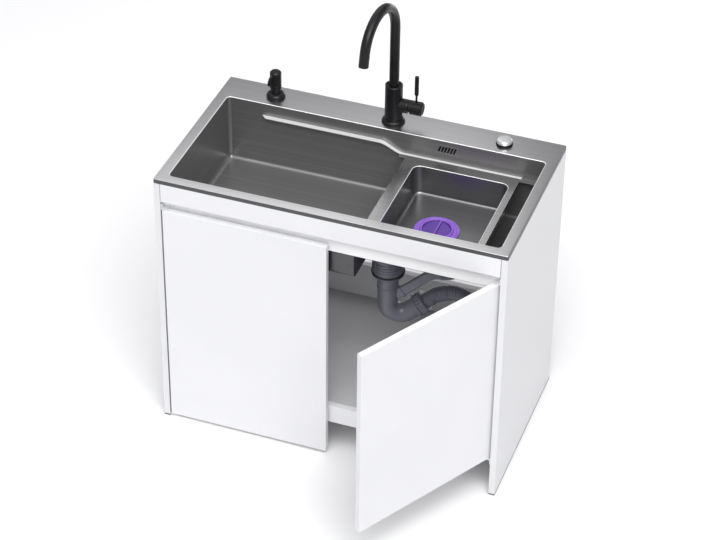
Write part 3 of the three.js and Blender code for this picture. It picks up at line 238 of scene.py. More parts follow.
def node(tree, kind, inputs=None, **settings):
    """A shader node. An input is a plain value or another node's output."""
    made = tree.nodes.new("ShaderNode" + kind)
    for key, value in settings.items():
        setattr(made, key, value)
    for key, value in (inputs or {}).items():
        if isinstance(value, bpy.types.NodeSocket):
            tree.links.new(value, made.inputs[key])
        else:
            made.inputs[key].default_value = value
    return made


def effect(name, inputs, outputs):
    """An empty shader group with named sockets, to be filled in and used by several finishes."""
    group = bpy.data.node_groups.new(name, "ShaderNodeTree")
    for label, start in inputs.items():
        socket = group.interface.new_socket(label, in_out="INPUT", socket_type="NodeSocketFloat")
        socket.default_value = start
    for label in outputs:
        group.interface.new_socket(label, in_out="OUTPUT", socket_type="NodeSocketFloat")
    return group, group.nodes.new("NodeGroupInput"), group.nodes.new("NodeGroupOutput")


def use(tree, group, values):
    """The effect placed in a finish, with its own values."""
    made = tree.nodes.new("ShaderNodeGroup")
    made.node_tree = group
    for label, value in values.items():
        made.inputs[label].default_value = value
    return made


def blank_finish(name, colour, roughness, metallic=0.0, **more):
    """A finish with plain values on its shader, ready for its detail."""
    made = bpy.data.materials.new(name)
    made.use_nodes = True
    made.diffuse_color = (*colour, 1)
    shader = made.node_tree.nodes["Principled BSDF"]
    shader.inputs["Base Color"].default_value = (*colour, 1)
    shader.inputs["Roughness"].default_value = roughness
    shader.inputs["Metallic"].default_value = metallic
    for key, value in more.items():
        shader.inputs[key.replace("_", " ")].default_value = value
    return made, made.node_tree, shader


def tones(tree, shader, mask, low, high):
    """The base colour runs from one tone to another with a mask."""
    mix = node(tree, "Mix", {"Factor": mask}, data_type="RGBA")
    mix.inputs[6].default_value = (*low, 1)
    mix.inputs[7].default_value = (*high, 1)
    tree.links.new(mix.outputs[2], shader.inputs["Base Color"])


def sheen_range(tree, shader, mask, low, high):
    """The roughness runs between two values with a mask."""
    spread = node(tree, "MapRange", {"Value": mask, "To Min": low, "To Max": high})
    tree.links.new(spread.outputs[0], shader.inputs["Roughness"])


def lit_edges(tree, shader, colour, width, amount):
    """The outer edges lean towards a lighter tone: a painted highlight."""
    line = use(tree, edge_highlight, {"Width": width, "Amount": amount})
    mix = node(tree, "Mix", {"Factor": line.outputs[0]}, data_type="RGBA")
    under = shader.inputs["Base Color"]
    tree.links.new(under.links[0].from_socket, mix.inputs[6])
    mix.inputs[7].default_value = (*colour, 1)
    tree.links.new(mix.outputs[2], under)


def relief(tree, shader, height, depth, strength):
    """A height pressed into the surface; the depth in millimetres."""
    bump = node(tree, "Bump", {"Strength": strength, "Distance": depth / 1000, "Height": height})
    tree.links.new(bump.outputs[0], shader.inputs["Normal"])


def worked_out(tree, operation, a, b=0.0, **more):
    """The result of a calculation with one or two values."""
    return node(tree, "Math", {0: a, 1: b}, operation=operation, **more).outputs[0]


def noise(tree, where, scale, detail, roughness):
    """Soft random values over the surface."""
    return node(tree, "TexNoise", {
        "Vector": where, "Scale": scale, "Detail": detail, "Roughness": roughness,
    }).outputs[0]


def stretched_to_one(tree, value, low, high):
    """A value spread so that low becomes 0 and high becomes 1."""
    return node(tree, "MapRange", {"Value": value, "From Min": low, "From Max": high}).outputs[0]


# Grain: a fine all-over texture such as orange peel or mould grain, with broad, faint clouds.
grain, grain_in, grain_out = effect("grain", {"Size": 1.0, "Cloud Size": 200.0}, ["Height", "Cloud"])
place = node(grain, "TexCoord").outputs["Object"]
fineness = worked_out(grain, "DIVIDE", 1000.0, grain_in.outputs["Size"])
breadth = worked_out(grain, "DIVIDE", 1000.0, grain_in.outputs["Cloud Size"])
cloud = stretched_to_one(grain, noise(grain, place, breadth, 3.0, 0.5), 0.3, 0.7)
grain.links.new(noise(grain, place, fineness, 2.0, 0.6), grain_out.inputs["Height"])
grain.links.new(cloud, grain_out.inputs["Cloud"])

# Edge highlight: a mask that is 1 on the outer edges of a piece, where a painted highlight goes.
edge_highlight, highlight_in, highlight_out = effect("edge_highlight", {"Width": 1.0, "Amount": 1.0}, ["Mask"])
reach = worked_out(edge_highlight, "MULTIPLY", highlight_in.outputs["Width"], 0.001)
rounded = node(edge_highlight, "Bevel", {"Radius": reach}, samples=4)
straight = node(edge_highlight, "NewGeometry").outputs["Normal"]
likeness = node(
    edge_highlight, "VectorMath", {0: rounded.outputs[0], 1: straight}, operation="DOT_PRODUCT"
)
unlike = worked_out(edge_highlight, "SUBTRACT", 1.0, likeness.outputs["Value"])
edge_line = stretched_to_one(edge_highlight, unlike, 0.01, 0.2)
scaled_line = worked_out(
    edge_highlight, "MULTIPLY", edge_line, highlight_in.outputs["Amount"], use_clamp=True
)
edge_highlight.links.new(scaled_line, highlight_out.inputs["Mask"])


def grained(name, colour, roughness, grit, tone, sheen=None, press=None, edge=None, **more):
    """A finish whose tone and sheen drift between two values each. The grit gives the widths of
    its fine grain and of its clouds in mm, the press the grain's depth in mm and its strength."""
    made, tree, shader = blank_finish(name, colour, roughness, **more)
    texture = use(tree, grain, {"Size": grit[0], "Cloud Size": grit[1]})
    tones(tree, shader, texture.outputs["Cloud"], *tone)
    # The edge gives a painted highlight along the outer edges.
    if edge:
        lit_edges(tree, shader, *edge)
    if sheen:
        sheen_range(tree, shader, texture.outputs["Cloud"], *sheen)
    if press:
        relief(tree, shader, texture.outputs["Height"], *press)
    return made


lacquer = grained(
    "white_lacquer", (0.74, 0.74, 0.755), 0.36, grit=(1.6, 260.0),
    tone=((0.725, 0.727, 0.743), (0.75, 0.751, 0.765)), sheen=(0.31, 0.4), press=(0.03, 0.5),
    Coat_Weight=0.2, Coat_Roughness=0.2,
)

# Painted shade: a darker copy of the white lacquer for the side panels.
shaded_panel_lacquer = grained(
    "shaded_panel_lacquer", (0.69, 0.69, 0.705), 0.36, grit=(1.6, 260.0),
    tone=((0.675, 0.677, 0.693), (0.7, 0.701, 0.715)), sheen=(0.31, 0.4), press=(0.03, 0.5),
    Coat_Weight=0.2, Coat_Roughness=0.2,
)

# Painted shade: a darker grey lacquer for the inside of the cabinet.
shaded_inner_lacquer = grained(
    "shaded_inner_lacquer", (0.48, 0.48, 0.49), 0.5, grit=(2.0, 180.0),
    tone=((0.46, 0.46, 0.47), (0.5, 0.5, 0.51)), sheen=(0.45, 0.55), press=(0.04, 0.5),
)

strip_plastic = grained(
    "strip_plastic", (0.1, 0.105, 0.11), 0.6, grit=(0.5, 40.0),
    tone=((0.085, 0.09, 0.095), (0.12, 0.125, 0.13)), press=(0.05, 0.6),
)

BOARD_EDGE = 0.9  # radius of a lacquered board edge
STRIP_EDGE = 0.6

for side in ("left", "right"):
    board_node = "side_panel_" + side
    board = piece(
        board_node + "_board", softened(block(*span(board_node)), BOARD_EDGE), "unit",
        shaded_panel_lacquer, board_node,
    )
    # The inner face of each side panel is darker: painted shade.
    part_finish(board, shaded_inner_lacquer, lambda spot, way: way.x * spot.x < -0.9 * abs(spot.x))
    strip_node = "base_strip_" + side
    piece(
        strip_node + "_profile", softened(block(*span(strip_node)), STRIP_EDGE), "unit",
        strip_plastic, strip_node,
    )


# ------------------------------------------------------------------ rails
# Lacquered boards glued and pinned between the side panels: the apron under the deck, the
# bottom rail and the two back rails. The finger-pull rail is a folded sheet in a brighter white,
# painted light in its shaded recess.

SEAM = Vector((0.8, 0, 0))  # open joint at each end of a rail

for rail in ("front_apron", "bottom_front_rail", "back_rail_lower", "back_rail_upper"):
    low, high = span(rail)
    piece(
        rail + "_board", softened(block(low + SEAM, high - SEAM), BOARD_EDGE), "unit", lacquer,
        rail,
    )

PULL_SHEET = 6
PULL_BEND = 3.0
EASE_STEPS = 4
MOST_CUT = 0.48  # a rounding takes less than half of a side


def eased(outline, radius, closed=False):
    """A flat outline with its corners rounded. A corner's third number is its own radius."""
    rounded_line = []
    count = len(outline)
    for i, corner in enumerate(outline):
        here = Vector(corner[:2])
        size = corner[2] if len(corner) > 2 else radius
        if size <= 0 or (not closed and i in (0, count - 1)):
            rounded_line.append(tuple(here))
            continue
        before = Vector(outline[i - 1][:2]) - here
        after = Vector(outline[(i + 1) % count][:2]) - here
        half_angle = before.angle(after) / 2
        cut = min(size / math.tan(half_angle), MOST_CUT * before.length, MOST_CUT * after.length)
        start, end = here + before.normalized() * cut, here + after.normalized() * cut
        for k in range(EASE_STEPS + 1):
            t = k / EASE_STEPS
            rounded_line.append(tuple((1 - t) ** 2 * start + 2 * t * (1 - t) * here + t * t * end))
    return rounded_line


def pushed(outline, low, high, axis="x"):
    """A flat outline pushed along an axis into a solid bar."""
    def at(point, along):
        across, up = point
        return (along, across, up) if axis == "x" else (across, along, up)

    count = len(outline)
    points = [at(p, low) for p in outline] + [at(p, high) for p in outline]
    faces = [(i, (i + 1) % count, count + (i + 1) % count, count + i) for i in range(count)]
    faces += [tuple(range(count))[::-1], tuple(range(count, 2 * count))]
    return points, faces


# Painted light: a brighter white that lifts the shade of the finger-pull recess.
lightened_pull_white = grained(
    "lightened_pull_white", (0.9, 0.9, 0.905), 0.5, grit=(0.8, 120.0),
    tone=((0.87, 0.87, 0.875), (0.92, 0.92, 0.925)), press=(0.02, 0.4),
)

low, high = span("finger_pull_rail")
sheet_front = high.y - PULL_SHEET
pull_outline = eased([
    (sheet_front, low.z, 1.5), (high.y, low.z, 1.5), (high.y, high.z, PULL_BEND),
    (low.y, high.z, 0.8), (low.y, high.z - PULL_SHEET, 0.8),
    (sheet_front, high.z - PULL_SHEET, 0.8),
], 1, closed=True)
piece(
    "finger_pull_sheet", pushed(pull_outline, low.x, high.x), "unit", lightened_pull_white,
    "finger_pull_rail",
)


# ------------------------------------------------------------------ bottom board and foot
# The bottom board is a lacquered board like the others, bored for the hose connector, its
# lacquer a darker grey as painted shade. A moulded foot under its middle keeps it from sagging.


def dress(finish, *nodes):
    """Pieces of the frame that stay as they are get their finish."""
    for name in nodes:
        materials = frame["nodes"][name].data.materials
        materials.clear()
        materials.append(finish)


def turned(outline, sides=96, closed=False, ripple=None):
    """An outline of (radius, height) points turned about the upright axis. A closed outline
    makes a ring. A ripple gives (radius, height, angle) a new radius, for grips and ribs."""
    points, rings = [], []
    for radius, height in outline:
        if radius < 1e-4:
            rings.append([len(points)] * sides)
            points.append((0, 0, height))
            continue
        rings.append(list(range(len(points), len(points) + sides)))
        for i in range(sides):
            angle = 2 * math.pi * i / sides
            r = ripple(radius, height, angle) if ripple else radius
            points.append((r * math.cos(angle), r * math.sin(angle), height))
    faces = []
    for k in range(len(rings) if closed else len(rings) - 1):
        low_ring, high_ring = rings[k], rings[(k + 1) % len(rings)]
        for i in range(sides):
            j = (i + 1) % sides
            corners = (low_ring[i], low_ring[j], high_ring[j], high_ring[i])
            face = tuple(dict.fromkeys(corners))
            if len(face) > 2:
                faces.append(face)
    return points, faces


def placed(shape, matrix):
    """The shape moved or turned by a matrix, or by a plain offset."""
    if not isinstance(matrix, Matrix):
        matrix = Matrix.Translation(Vector(matrix))
    return [tuple(matrix @ Vector(p)) for p in shape[0]], shape[1]


def lathed(
    name, outline, ease, foot, body, finish, stands_for=None, sides=96, closed=False, bores=()
):
    """A piece turned from an outline with rounded corners, bored where needed, on its foot point."""
    shape = turned(eased(outline, ease, closed), sides, closed)
    if bores:
        shape = carved(shape, bores)
    piece(name, placed(shape, foot), body, finish, stands_for)


# The bottom board is darker: painted shade inside the cabinet.
dress(shaded_inner_lacquer, "bottom_board")

low, high = span("centre_foot")
foot_outline = [
    (0, low.z), (high.x, low.z), (high.x, low.z + 6), (high.x - 5, low.z + 9),
    (15, low.z + 12), (14, high.z), (0, high.z),
]
lathed(
    "centre_foot_moulding", foot_outline, 1.5, (0, 0, 0), "unit", strip_plastic,
    "centre_foot",
)


# ------------------------------------------------------------------ doors
# Lacquered boards set in between the side panels. Each turns on steel pins in its upper and
# lower edge, held by zinc-plated brackets. The left one is shut, the right one stands open.

DOOR_EDGE = 1.3  # softer than the other boards, for the fingers
joints = {joint["name"]: joint for joint in frame["joints"]}
low, high = span("door_left")
door_width, door_board = high.x - low.x, high.y - low.y

zinc = grained(
    "zinc_plate", (0.5, 0.51, 0.52), 0.38, grit=(0.8, 14.0),
    tone=((0.44, 0.45, 0.46), (0.6, 0.61, 0.62)), sheen=(0.28, 0.46), press=(0.02, 0.4),
    metallic=1.0,
)

# Painted light: a lighter copy of the zinc for the pivot brackets, which sit in shade.
lightened_bracket_zinc = grained(
    "zinc_painted_light", (0.72, 0.725, 0.73), 0.5, grit=(0.8, 12.0),
    tone=((0.68, 0.685, 0.69), (0.78, 0.785, 0.79)), sheen=(0.42, 0.56), metallic=0.35,
)

for side, way in (("left", -1), ("right", 1)):
    swing = joints[side + "_door_swing"]
    pin = Vector(swing["pos_m"]) * 1000
    low, high = span("door_" + side)
    hinge_edge = span("door_left")[0].x * -way
    edge, free = sorted((hinge_edge, hinge_edge - way * door_width))
    board = block(
        (edge, pin.y - door_board / 2, low.z), (free, pin.y + door_board / 2, high.z)
    )
    open_angle = -math.radians(swing["range_deg"][0]) * swing["axis"][2]
    about_pin = (
        Matrix.Translation(pin) @ Matrix.Rotation(open_angle, 4, "Z") @ Matrix.Translation(-pin)
    )
    piece(
        "door_%s_board" % side, placed(softened(board, DOOR_EDGE, 3), about_pin),
        "door_" + side, lacquer, "door_" + side,
    )
    dress(lightened_bracket_zinc, "pivot_bracket_%s_lower" % side, "pivot_bracket_%s_upper" % side)


# ------------------------------------------------------------------ sink
# One 1.5 mm stainless steel pressing: a brushed deck with a folded edge, and a straight-sided
# bowl whose corners and foot are rounded. Its front wall slopes back round the drain and on its
# right, to leave room for the pipes.

SHEET = 1.5
DECK_FOLD = 13
DECK_CORNER = 4
EDGE_ROUND = 2.4  # where the deck turns down, outside and at the bowl
BOWL_LEFT, BOWL_RIGHT, BOWL_FRONT, BOWL_BACK = -467, 470, -245, 175
BOWL_DEPTH = 205
BOWL_CORNER = 12
BOWL_FOOT = 14
FOOT_STEPS = 6
SLOPE_FROM = 67
SLOPE_DROP = 130
SLOPE_RUN = 95
CORNER_STEPS = 6
STOP_STEP = 0.4  # width of the step beside the slope

low, high = span("sink")
deck_top = high.z
deck_left, deck_right, deck_front, deck_back = low.x, high.x, low.y, high.y
slope_lean = SLOPE_RUN / (BOWL_DEPTH + SHEET - SLOPE_DROP)


def round_corners(x0, x1, y0, y1, radius, z, steps=CORNER_STEPS, front_stop=None, push=0):
    """A level ring with round corners. It may have a stop along its front edge, from which the
    front right part is pushed back."""
    radius = max(radius, 0.3)
    ring = []
    centres = (
        (x1 - radius, y0 + radius + push, -90), (x1 - radius, y1 - radius, 0),
        (x0 + radius, y1 - radius, 90), (x0 + radius, y0 + radius, 180),
    )
    for cx, cy, start in centres:
        for i in range(steps + 1):
            angle = math.radians(start + 90 * i / steps)
            ring.append((cx + radius * math.cos(angle), cy + radius * math.sin(angle), z))
    if front_stop is not None:
        ring += [(front_stop - STOP_STEP, y0, z), (front_stop, y0 + push, z)]
    return ring


def skinned(rings, looped=False):
    """A skin over rings of equal count, closed by flat ends or run back into its start."""
    count = len(rings[0])
    points = [p for ring in rings for p in ring]
    faces = []
    for k in range(len(rings) if looped else len(rings) - 1):
        a, b = k * count, (k + 1) % len(rings) * count
        faces += [(a + i, a + (i + 1) % count, b + (i + 1) % count, b + i) for i in range(count)]
    if not looped:
        faces += [tuple(range(count))[::-1], tuple(range(len(points) - count, len(points)))]
    return points, faces


def carved(shape, tools, how="DIFFERENCE"):
    """The shape with other shapes cut from it or joined to it."""
    stock = [in_scene("stock", outward_mesh("stock", *solid)) for solid in (shape, *tools)]
    for tool in stock[1:]:
        step = stock[0].modifiers.new("cut", "BOOLEAN")
        step.operation, step.solver, step.object = how, "EXACT", tool
    bpy.context.view_layer.update()
    ready = stock[0].evaluated_get(bpy.context.evaluated_depsgraph_get()).data
    points = [tuple(v.co) for v in ready.vertices]
    faces = [tuple(f.vertices) for f in ready.polygons]
    for made in stock:
        bpy.data.objects.remove(made)
    return points, faces


def bowl_ring(inset, drop, skin):
    """A ring of the bowl's wall, a distance in from the wall and down from the deck."""
    push = max(0, drop - SLOPE_DROP) * slope_lean
    edge = inset - skin
    return round_corners(
        BOWL_LEFT + edge, BOWL_RIGHT - edge, BOWL_FRONT + edge, BOWL_BACK - edge,
        BOWL_CORNER + skin - inset, deck_top - drop,
        front_stop=SLOPE_FROM - SHEET + skin, push=push,
    )


def bowl_rings(skin):
    """The bowl's wall from its floor up to just under the deck."""
    rings = []
    for i in range(FOOT_STEPS + 1):
        angle = math.pi / 2 * i / FOOT_STEPS
        inset = (BOWL_FOOT + skin) * (1 - math.sin(angle))
        rise = (BOWL_FOOT + skin) * (1 - math.cos(angle))
        rings.append(bowl_ring(inset, BOWL_DEPTH + skin - rise, skin))
    rings.append(bowl_ring(0, SLOPE_DROP, skin))
    rings.append(bowl_ring(0, EDGE_ROUND + SHEET, skin))
    return rings


def deck_ring(inset, drop):
    """A ring of the deck, a distance in from its edge and down from its top."""
    return round_corners(
        deck_left + inset, deck_right - inset, deck_front + inset, deck_back - inset,
        DECK_CORNER - inset, deck_top - drop, front_stop=SLOPE_FROM,
    )


def bend(radius, angles):
    """Steps round the bend of a sheet: how far out and how far down each one lies."""
    return [
        (radius * (1 - math.cos(math.radians(a))), radius * (1 - math.sin(math.radians(a))))
        for a in angles
    ]


sink_rings = bowl_rings(SHEET)
sink_rings += [bowl_ring(0, SHEET, SHEET), deck_ring(SHEET, SHEET), deck_ring(SHEET, DECK_FOLD)]
sink_rings += [deck_ring(0, DECK_FOLD), deck_ring(0, EDGE_ROUND)]
sink_rings += [deck_ring(out, down) for out, down in bend(EDGE_ROUND, (30, 60, 90))]
sink_rings += [bowl_ring(-out, down, 0) for out, down in bend(EDGE_ROUND, (90, 60, 30))]
sink_rings += bowl_rings(0)[::-1]
sink_shape = skinned(sink_rings)


def rod(radius, low, high, x=0, y=0, sides=64):
    """A plain upright cylinder, for holes and pins."""
    return placed(turned([(0, low), (radius, low), (radius, high), (0, high)], sides), (x, y, 0))


def middle(node):
    """The middle of a piece of the frame, in millimetres."""
    low, high = span(node)
    return (low + high) / 2


OVERFLOW_SLOT = (30, 11)  # half its width and height
FITTING_HOLE = 17
WASTE_HOLE = 42
slot_middle = middle("overflow_grille")
waste_middle = middle("waste_housing")
sink_holes = [
    rod(FITTING_HOLE, deck_top - 10, deck_top + 5, *middle(fitting).xy)
    for fitting in ("tap_flange", "pump_nut", "knob_base")
]
sink_holes.append(rod(WASTE_HOLE, deck_top - BOWL_DEPTH - 10, deck_top - BOWL_DEPTH + 10,
                      waste_middle.x, waste_middle.y))
sink_holes.append(block(
    (slot_middle.x - OVERFLOW_SLOT[0], BOWL_BACK - 3, slot_middle.z - OVERFLOW_SLOT[1]),
    (slot_middle.x + OVERFLOW_SLOT[0], BOWL_BACK + 5, slot_middle.z + OVERFLOW_SLOT[1]),
))

# Brushed: fine straight lines along the sheet, over broader faint streaks.
brushed, brush_in, brush_out = effect(
    "brushed", {"Line": 0.5, "Length": 60.0}, ["Height", "Streak"]
)
spot = node(brushed, "SeparateXYZ", {0: node(brushed, "TexCoord").outputs["Object"]})
facing = node(brushed, "SeparateXYZ", {0: node(brushed, "NewGeometry").outputs["True Normal"]})
along = worked_out(brushed, "DIVIDE", 1000.0, brush_in.outputs["Length"])
across = worked_out(brushed, "DIVIDE", 1000.0, brush_in.outputs["Line"])
sideways = worked_out(brushed, "ABSOLUTE", facing.outputs["X"])
is_end_wall = worked_out(brushed, "GREATER_THAN", sideways, 0.7)
scales = {"Z": across}
for axis, elsewhere, on_end_wall in (("X", along, across), ("Y", across, along)):
    scales[axis] = node(
        brushed, "Mix", {"Factor": is_end_wall, "A": elsewhere, "B": on_end_wall}
    ).outputs[0]
stretched = node(brushed, "CombineXYZ", {
    axis: worked_out(brushed, "MULTIPLY", spot.outputs[axis], scales[axis])
    for axis in ("X", "Y", "Z")
}).outputs[0]
streak = stretched_to_one(brushed, noise(brushed, stretched, 0.11, 3.0, 0.6), 0.28, 0.72)
brushed.links.new(noise(brushed, stretched, 1.0, 3.0, 0.7), brush_out.inputs["Height"])
brushed.links.new(streak, brush_out.inputs["Streak"])


def brushed_steel(name, dark, light, sheen, edge, metallic=1.0):
    """Brushed stainless steel with a painted highlight along its edges. The less metallic,
    the more the brushing scatters the light."""
    made, tree, shader = blank_finish(name, light, sheen[0], metallic)
    lines = use(tree, brushed, {"Line": 0.5, "Length": 320.0})
    tones(tree, shader, lines.outputs["Streak"], dark, light)
    lit_edges(tree, shader, edge, 1.2, 0.8)
    sheen_range(tree, shader, lines.outputs["Streak"], *sheen)
    relief(tree, shader, lines.outputs["Height"], 0.003, 0.05)
    return made


deck_steel = brushed_steel(
    "brushed_deck_steel", (0.57, 0.565, 0.57), (0.63, 0.625, 0.63), (0.3, 0.28), (0.9, 0.89, 0.88)
)
# Painted shade: a darker copy of the sink's steel for the inside of the bowl.
shaded_bowl_steel = brushed_steel(
    "bowl_metal_painted_shade", (0.2, 0.196, 0.196), (0.25, 0.245, 0.245), (0.4, 0.3),
    (0.7, 0.69, 0.68), 0.65,
)
# Painted shade: a near-black copy of the steel for the deck's folded edge.
shaded_fold_steel = brushed_steel(
    "fold_metal_painted_shade", (0.09, 0.09, 0.095), (0.13, 0.13, 0.135), (0.4, 0.32), (0.3, 0.3, 0.3)
)
# Painted shade: the steel of the bowl's outside and the deck's underside, made near black.
shaded_underside_steel = grained(
    "underside_metal_painted_shade", (0.1, 0.1, 0.103), 0.3, grit=(3.0, 60.0),
    tone=((0.085, 0.085, 0.088), (0.115, 0.115, 0.118)), sheen=(0.24, 0.34), press=(0.1, 0.5),
    metallic=0.95,
)

# Painted highlight: a near-white steel for the round bends at the openings.
highlight_edge_steel = brushed_steel(
    "edge_metal_painted_highlight", (0.85, 0.85, 0.85), (0.95, 0.95, 0.95), (0.4, 0.3), (1, 1, 1), 0.5
)

bowl_heart = Vector((
    (BOWL_LEFT + BOWL_RIGHT) / 2, (BOWL_FRONT + BOWL_BACK) / 2, deck_top - BOWL_DEPTH / 2,
))


def in_bowl(spot, way):
    """Inner faces of the bowl, below the round of its rim."""
    inward = way.dot(bowl_heart - spot) > 0 and way.z > -0.3
    return inward and spot.z < deck_top - 0.7 * EDGE_ROUND and abs(spot.x) < -deck_left - 20


def on_fold(spot, way):
    """Outer faces of the deck's folded edge."""
    outward = way.dot(spot - bowl_heart) > 0 and abs(way.z) < 0.3
    return outward and deck_top - DECK_FOLD - 1 < spot.z < deck_top - EDGE_ROUND / 2 and not (
        deck_left + 1 < spot.x < deck_right - 1 and deck_front + 1 < spot.y < deck_back - 1
    )


def on_rim_bend(spot, way):
    """The round bend where the deck turns down into the bowl."""
    return 0.15 < way.z < 0.97 and spot.z > deck_top - EDGE_ROUND and (
        BOWL_LEFT - 5 < spot.x < BOWL_RIGHT + 5 and BOWL_FRONT - 5 < spot.y < BOWL_BACK + 5
    )


def underneath(spot, way):
    """Outer faces of the bowl and the deck's underside."""
    return not in_bowl(spot, way) and not on_fold(spot, way) and (
        way.z < -0.9 or spot.z < deck_top - DECK_FOLD
    )


pressing = piece(
    "sink_pressing", carved(sink_shape, sink_holes), "unit", deck_steel, "sink"
)
# The bowl's inner faces take the darker steel: painted shade.
part_finish(pressing, shaded_bowl_steel, in_bowl)
# The folded edge takes the near-black steel: painted shade.
part_finish(pressing, shaded_fold_steel, on_fold)
# The bowl's outside and the deck's underside take the near-black steel: painted shade.
part_finish(pressing, shaded_underside_steel, underneath)
# The bend into the bowl takes the near-white steel: painted highlight.
part_finish(pressing, highlight_edge_steel, on_rim_bend)
dress(zinc, *("sink_clip_%s_%s" % (a, b) for a in ("left", "right") for b in ("front", "rear")))


# ------------------------------------------------------------------ ledges
# Strips of 3 mm steel welded along the long walls. Each starts in a point, runs high, drops in
# an S bend and runs low to the right, where the tray hangs on it.

LEDGE_SHEET = 3
LEDGE_BEND = (-5, 58)
LEDGE_BEND_STEPS = 16
LEDGE_EDGE = 0.5
LEDGE_SLIM = (8, 13)  # how much slimmer the bright strip is on its high and its low run

# Painted highlight: the ledges' steel made near white, as if lit from above.
highlit_ledge_steel = brushed_steel(
    "ledge_metal_painted_highlight", (0.8, 0.795, 0.79), (0.88, 0.875, 0.87), (0.55, 0.45), (1.0, 1.0, 1.0),
    0.35,
)
tray_end = span("tray")[1].x + 1
for side in ("rear", "front"):
    low, high = span("ledge_" + side)
    top_line = [(low.x, high.z)]
    low_top = low.z + LEDGE_SHEET
    for i in range(LEDGE_BEND_STEPS + 1):
        share = i / LEDGE_BEND_STEPS
        fall = (high.z - low_top) * (share + (1 - math.cos(math.pi * share)) / 2) / 2
        top_line.append((LEDGE_BEND[0] + (LEDGE_BEND[1] - LEDGE_BEND[0]) * share, high.z - fall))
    top_line += [(tray_end, low_top), (high.x, low_top)]
    outline = top_line + [(x, z - LEDGE_SHEET) for x, z in top_line[::-1]]
    points, faces = pushed(outline, low.y, high.y, axis="y")
    free_edge, inward = (low.y, 1) if side == "rear" else (high.y, -1)
    narrowed = []
    for x, y, z in points:
        if y == free_edge:
            run = (x - LEDGE_BEND[0]) / (LEDGE_BEND[1] - LEDGE_BEND[0])
            slimmer = LEDGE_SLIM[0] + (LEDGE_SLIM[1] - LEDGE_SLIM[0]) * min(1, max(0, run))
            x, y = x + (high.y - low.y - slimmer if x == low.x else 0), y + inward * slimmer
        narrowed.append((x, y, z))
    strip = piece(
        "ledge_%s_strip" % side, softened((narrowed, faces), LEDGE_EDGE), "unit", highlit_ledge_steel,
        "ledge_" + side,
    )
    # Beyond the tray the strip takes the bowl's darker steel: painted shade.
    part_finish(strip, shaded_bowl_steel, lambda spot, way: spot.x > tray_end)
    # The seat is a dark band of the bowl's darker steel beside the tray's rim: painted shade.
    seat_sides = sorted((free_edge, free_edge + inward * (LEDGE_SLIM[1] + 0.3)))
    seat_outline = eased([
        (LEDGE_BEND[1] - 6, seat_sides[0]), (high.x, seat_sides[0]), (high.x, seat_sides[1]),
        (LEDGE_BEND[1] - 6, seat_sides[1]),
    ], 4, closed=True)
    points, faces = pushed(seat_outline, low.z, low_top - 0.1, axis="y")
    piece(
        "ledge_%s_seat" % side, softened(([(x, y, z) for x, z, y in points], faces), LEDGE_EDGE),
        "unit", shaded_bowl_steel, "ledge_" + side,
    )


# ------------------------------------------------------------------ tray
# A drawn tray of 1.2 mm steel with a flat rim that rests on the ledges' low run and slides
# along them. Its corners are generous and its foot is rounded for easy cleaning.

TRAY_SHEET = 1.2
TRAY_RIM = (37, 20, 33)  # left, right, ends
TRAY_CORNER = 22
TRAY_CORNER_STEPS = 10
TRAY_FOOT = 10
TRAY_STEPS = 7
TRAY_TAPER = 4
TRAY_RIM_CORNER = 5
TRAY_EDGE = 2

low, high = span("tray")
tray_top, tray_floor = high.z, low.z + TRAY_SHEET
open_x = (low.x + TRAY_RIM[0], high.x - TRAY_RIM[1])
open_y = (low.y + TRAY_RIM[2], high.y - TRAY_RIM[2])


def tray_ring(inset, z, skin):
    """A ring of the tray's wall, in from its opening. The walls lean in towards the foot."""
    share = (tray_top - z) / (tray_top - tray_floor)
    edge = inset - skin + TRAY_TAPER * min(1, max(0, share))
    return round_corners(
        open_x[0] + edge, open_x[1] - edge, open_y[0] + edge, open_y[1] - edge,
        TRAY_CORNER + skin - inset, z, TRAY_CORNER_STEPS,
    )


def tray_wall(skin):
    """The tray's wall from its floor up to its rim."""
    rings = []
    for i in range(TRAY_STEPS + 1):
        angle = math.pi / 2 * i / TRAY_STEPS
        radius = TRAY_FOOT + skin
        rings.append(tray_ring(
            radius * (1 - math.sin(angle)), tray_floor - skin + radius * (1 - math.cos(angle)), skin
        ))
    rings.append(tray_ring(0, tray_top - 2 * TRAY_SHEET, skin))
    return rings


def rim_ring(inset, z):
    """A ring of the tray's outer rim."""
    return round_corners(
        low.x + inset, high.x - inset, low.y + inset, high.y - inset,
        TRAY_RIM_CORNER - inset, z, TRAY_CORNER_STEPS,
    )


rim_under = tray_top - TRAY_SHEET
tray_rings = tray_wall(TRAY_SHEET) + [tray_ring(0, rim_under, TRAY_SHEET)]
tray_rings += [rim_ring(0.4, rim_under), rim_ring(0, rim_under + 0.4)]
tray_rings += [rim_ring(0, tray_top - 0.4), rim_ring(0.4, tray_top)]
tray_rings += [tray_ring(-out, tray_top - down, 0) for out, down in bend(TRAY_EDGE, (90, 60, 30))]
tray_rings += tray_wall(0)[::-1]
tray_rim_steel = brushed_steel(
    "brushed_tray_rim", (0.42, 0.416, 0.42), (0.47, 0.466, 0.47), (0.28, 0.25), (0.9, 0.89, 0.88)
)
# Painted shade: a darker copy of the tray's steel for its inside.
shaded_tray_steel = brushed_steel(
    "tray_metal_painted_shade", (0.18, 0.18, 0.185), (0.22, 0.22, 0.225), (0.31, 0.27), (0.6, 0.59, 0.58),
    0.88,
)
drawn_tray = piece(
    "tray_pressing", skinned(tray_rings), "tray", tray_rim_steel, "tray"
)
# Below the rim's bend the tray takes the darker steel: painted shade.
part_finish(drawn_tray, shaded_tray_steel, lambda spot, way: spot.z < tray_top - 0.8 * TRAY_EDGE)
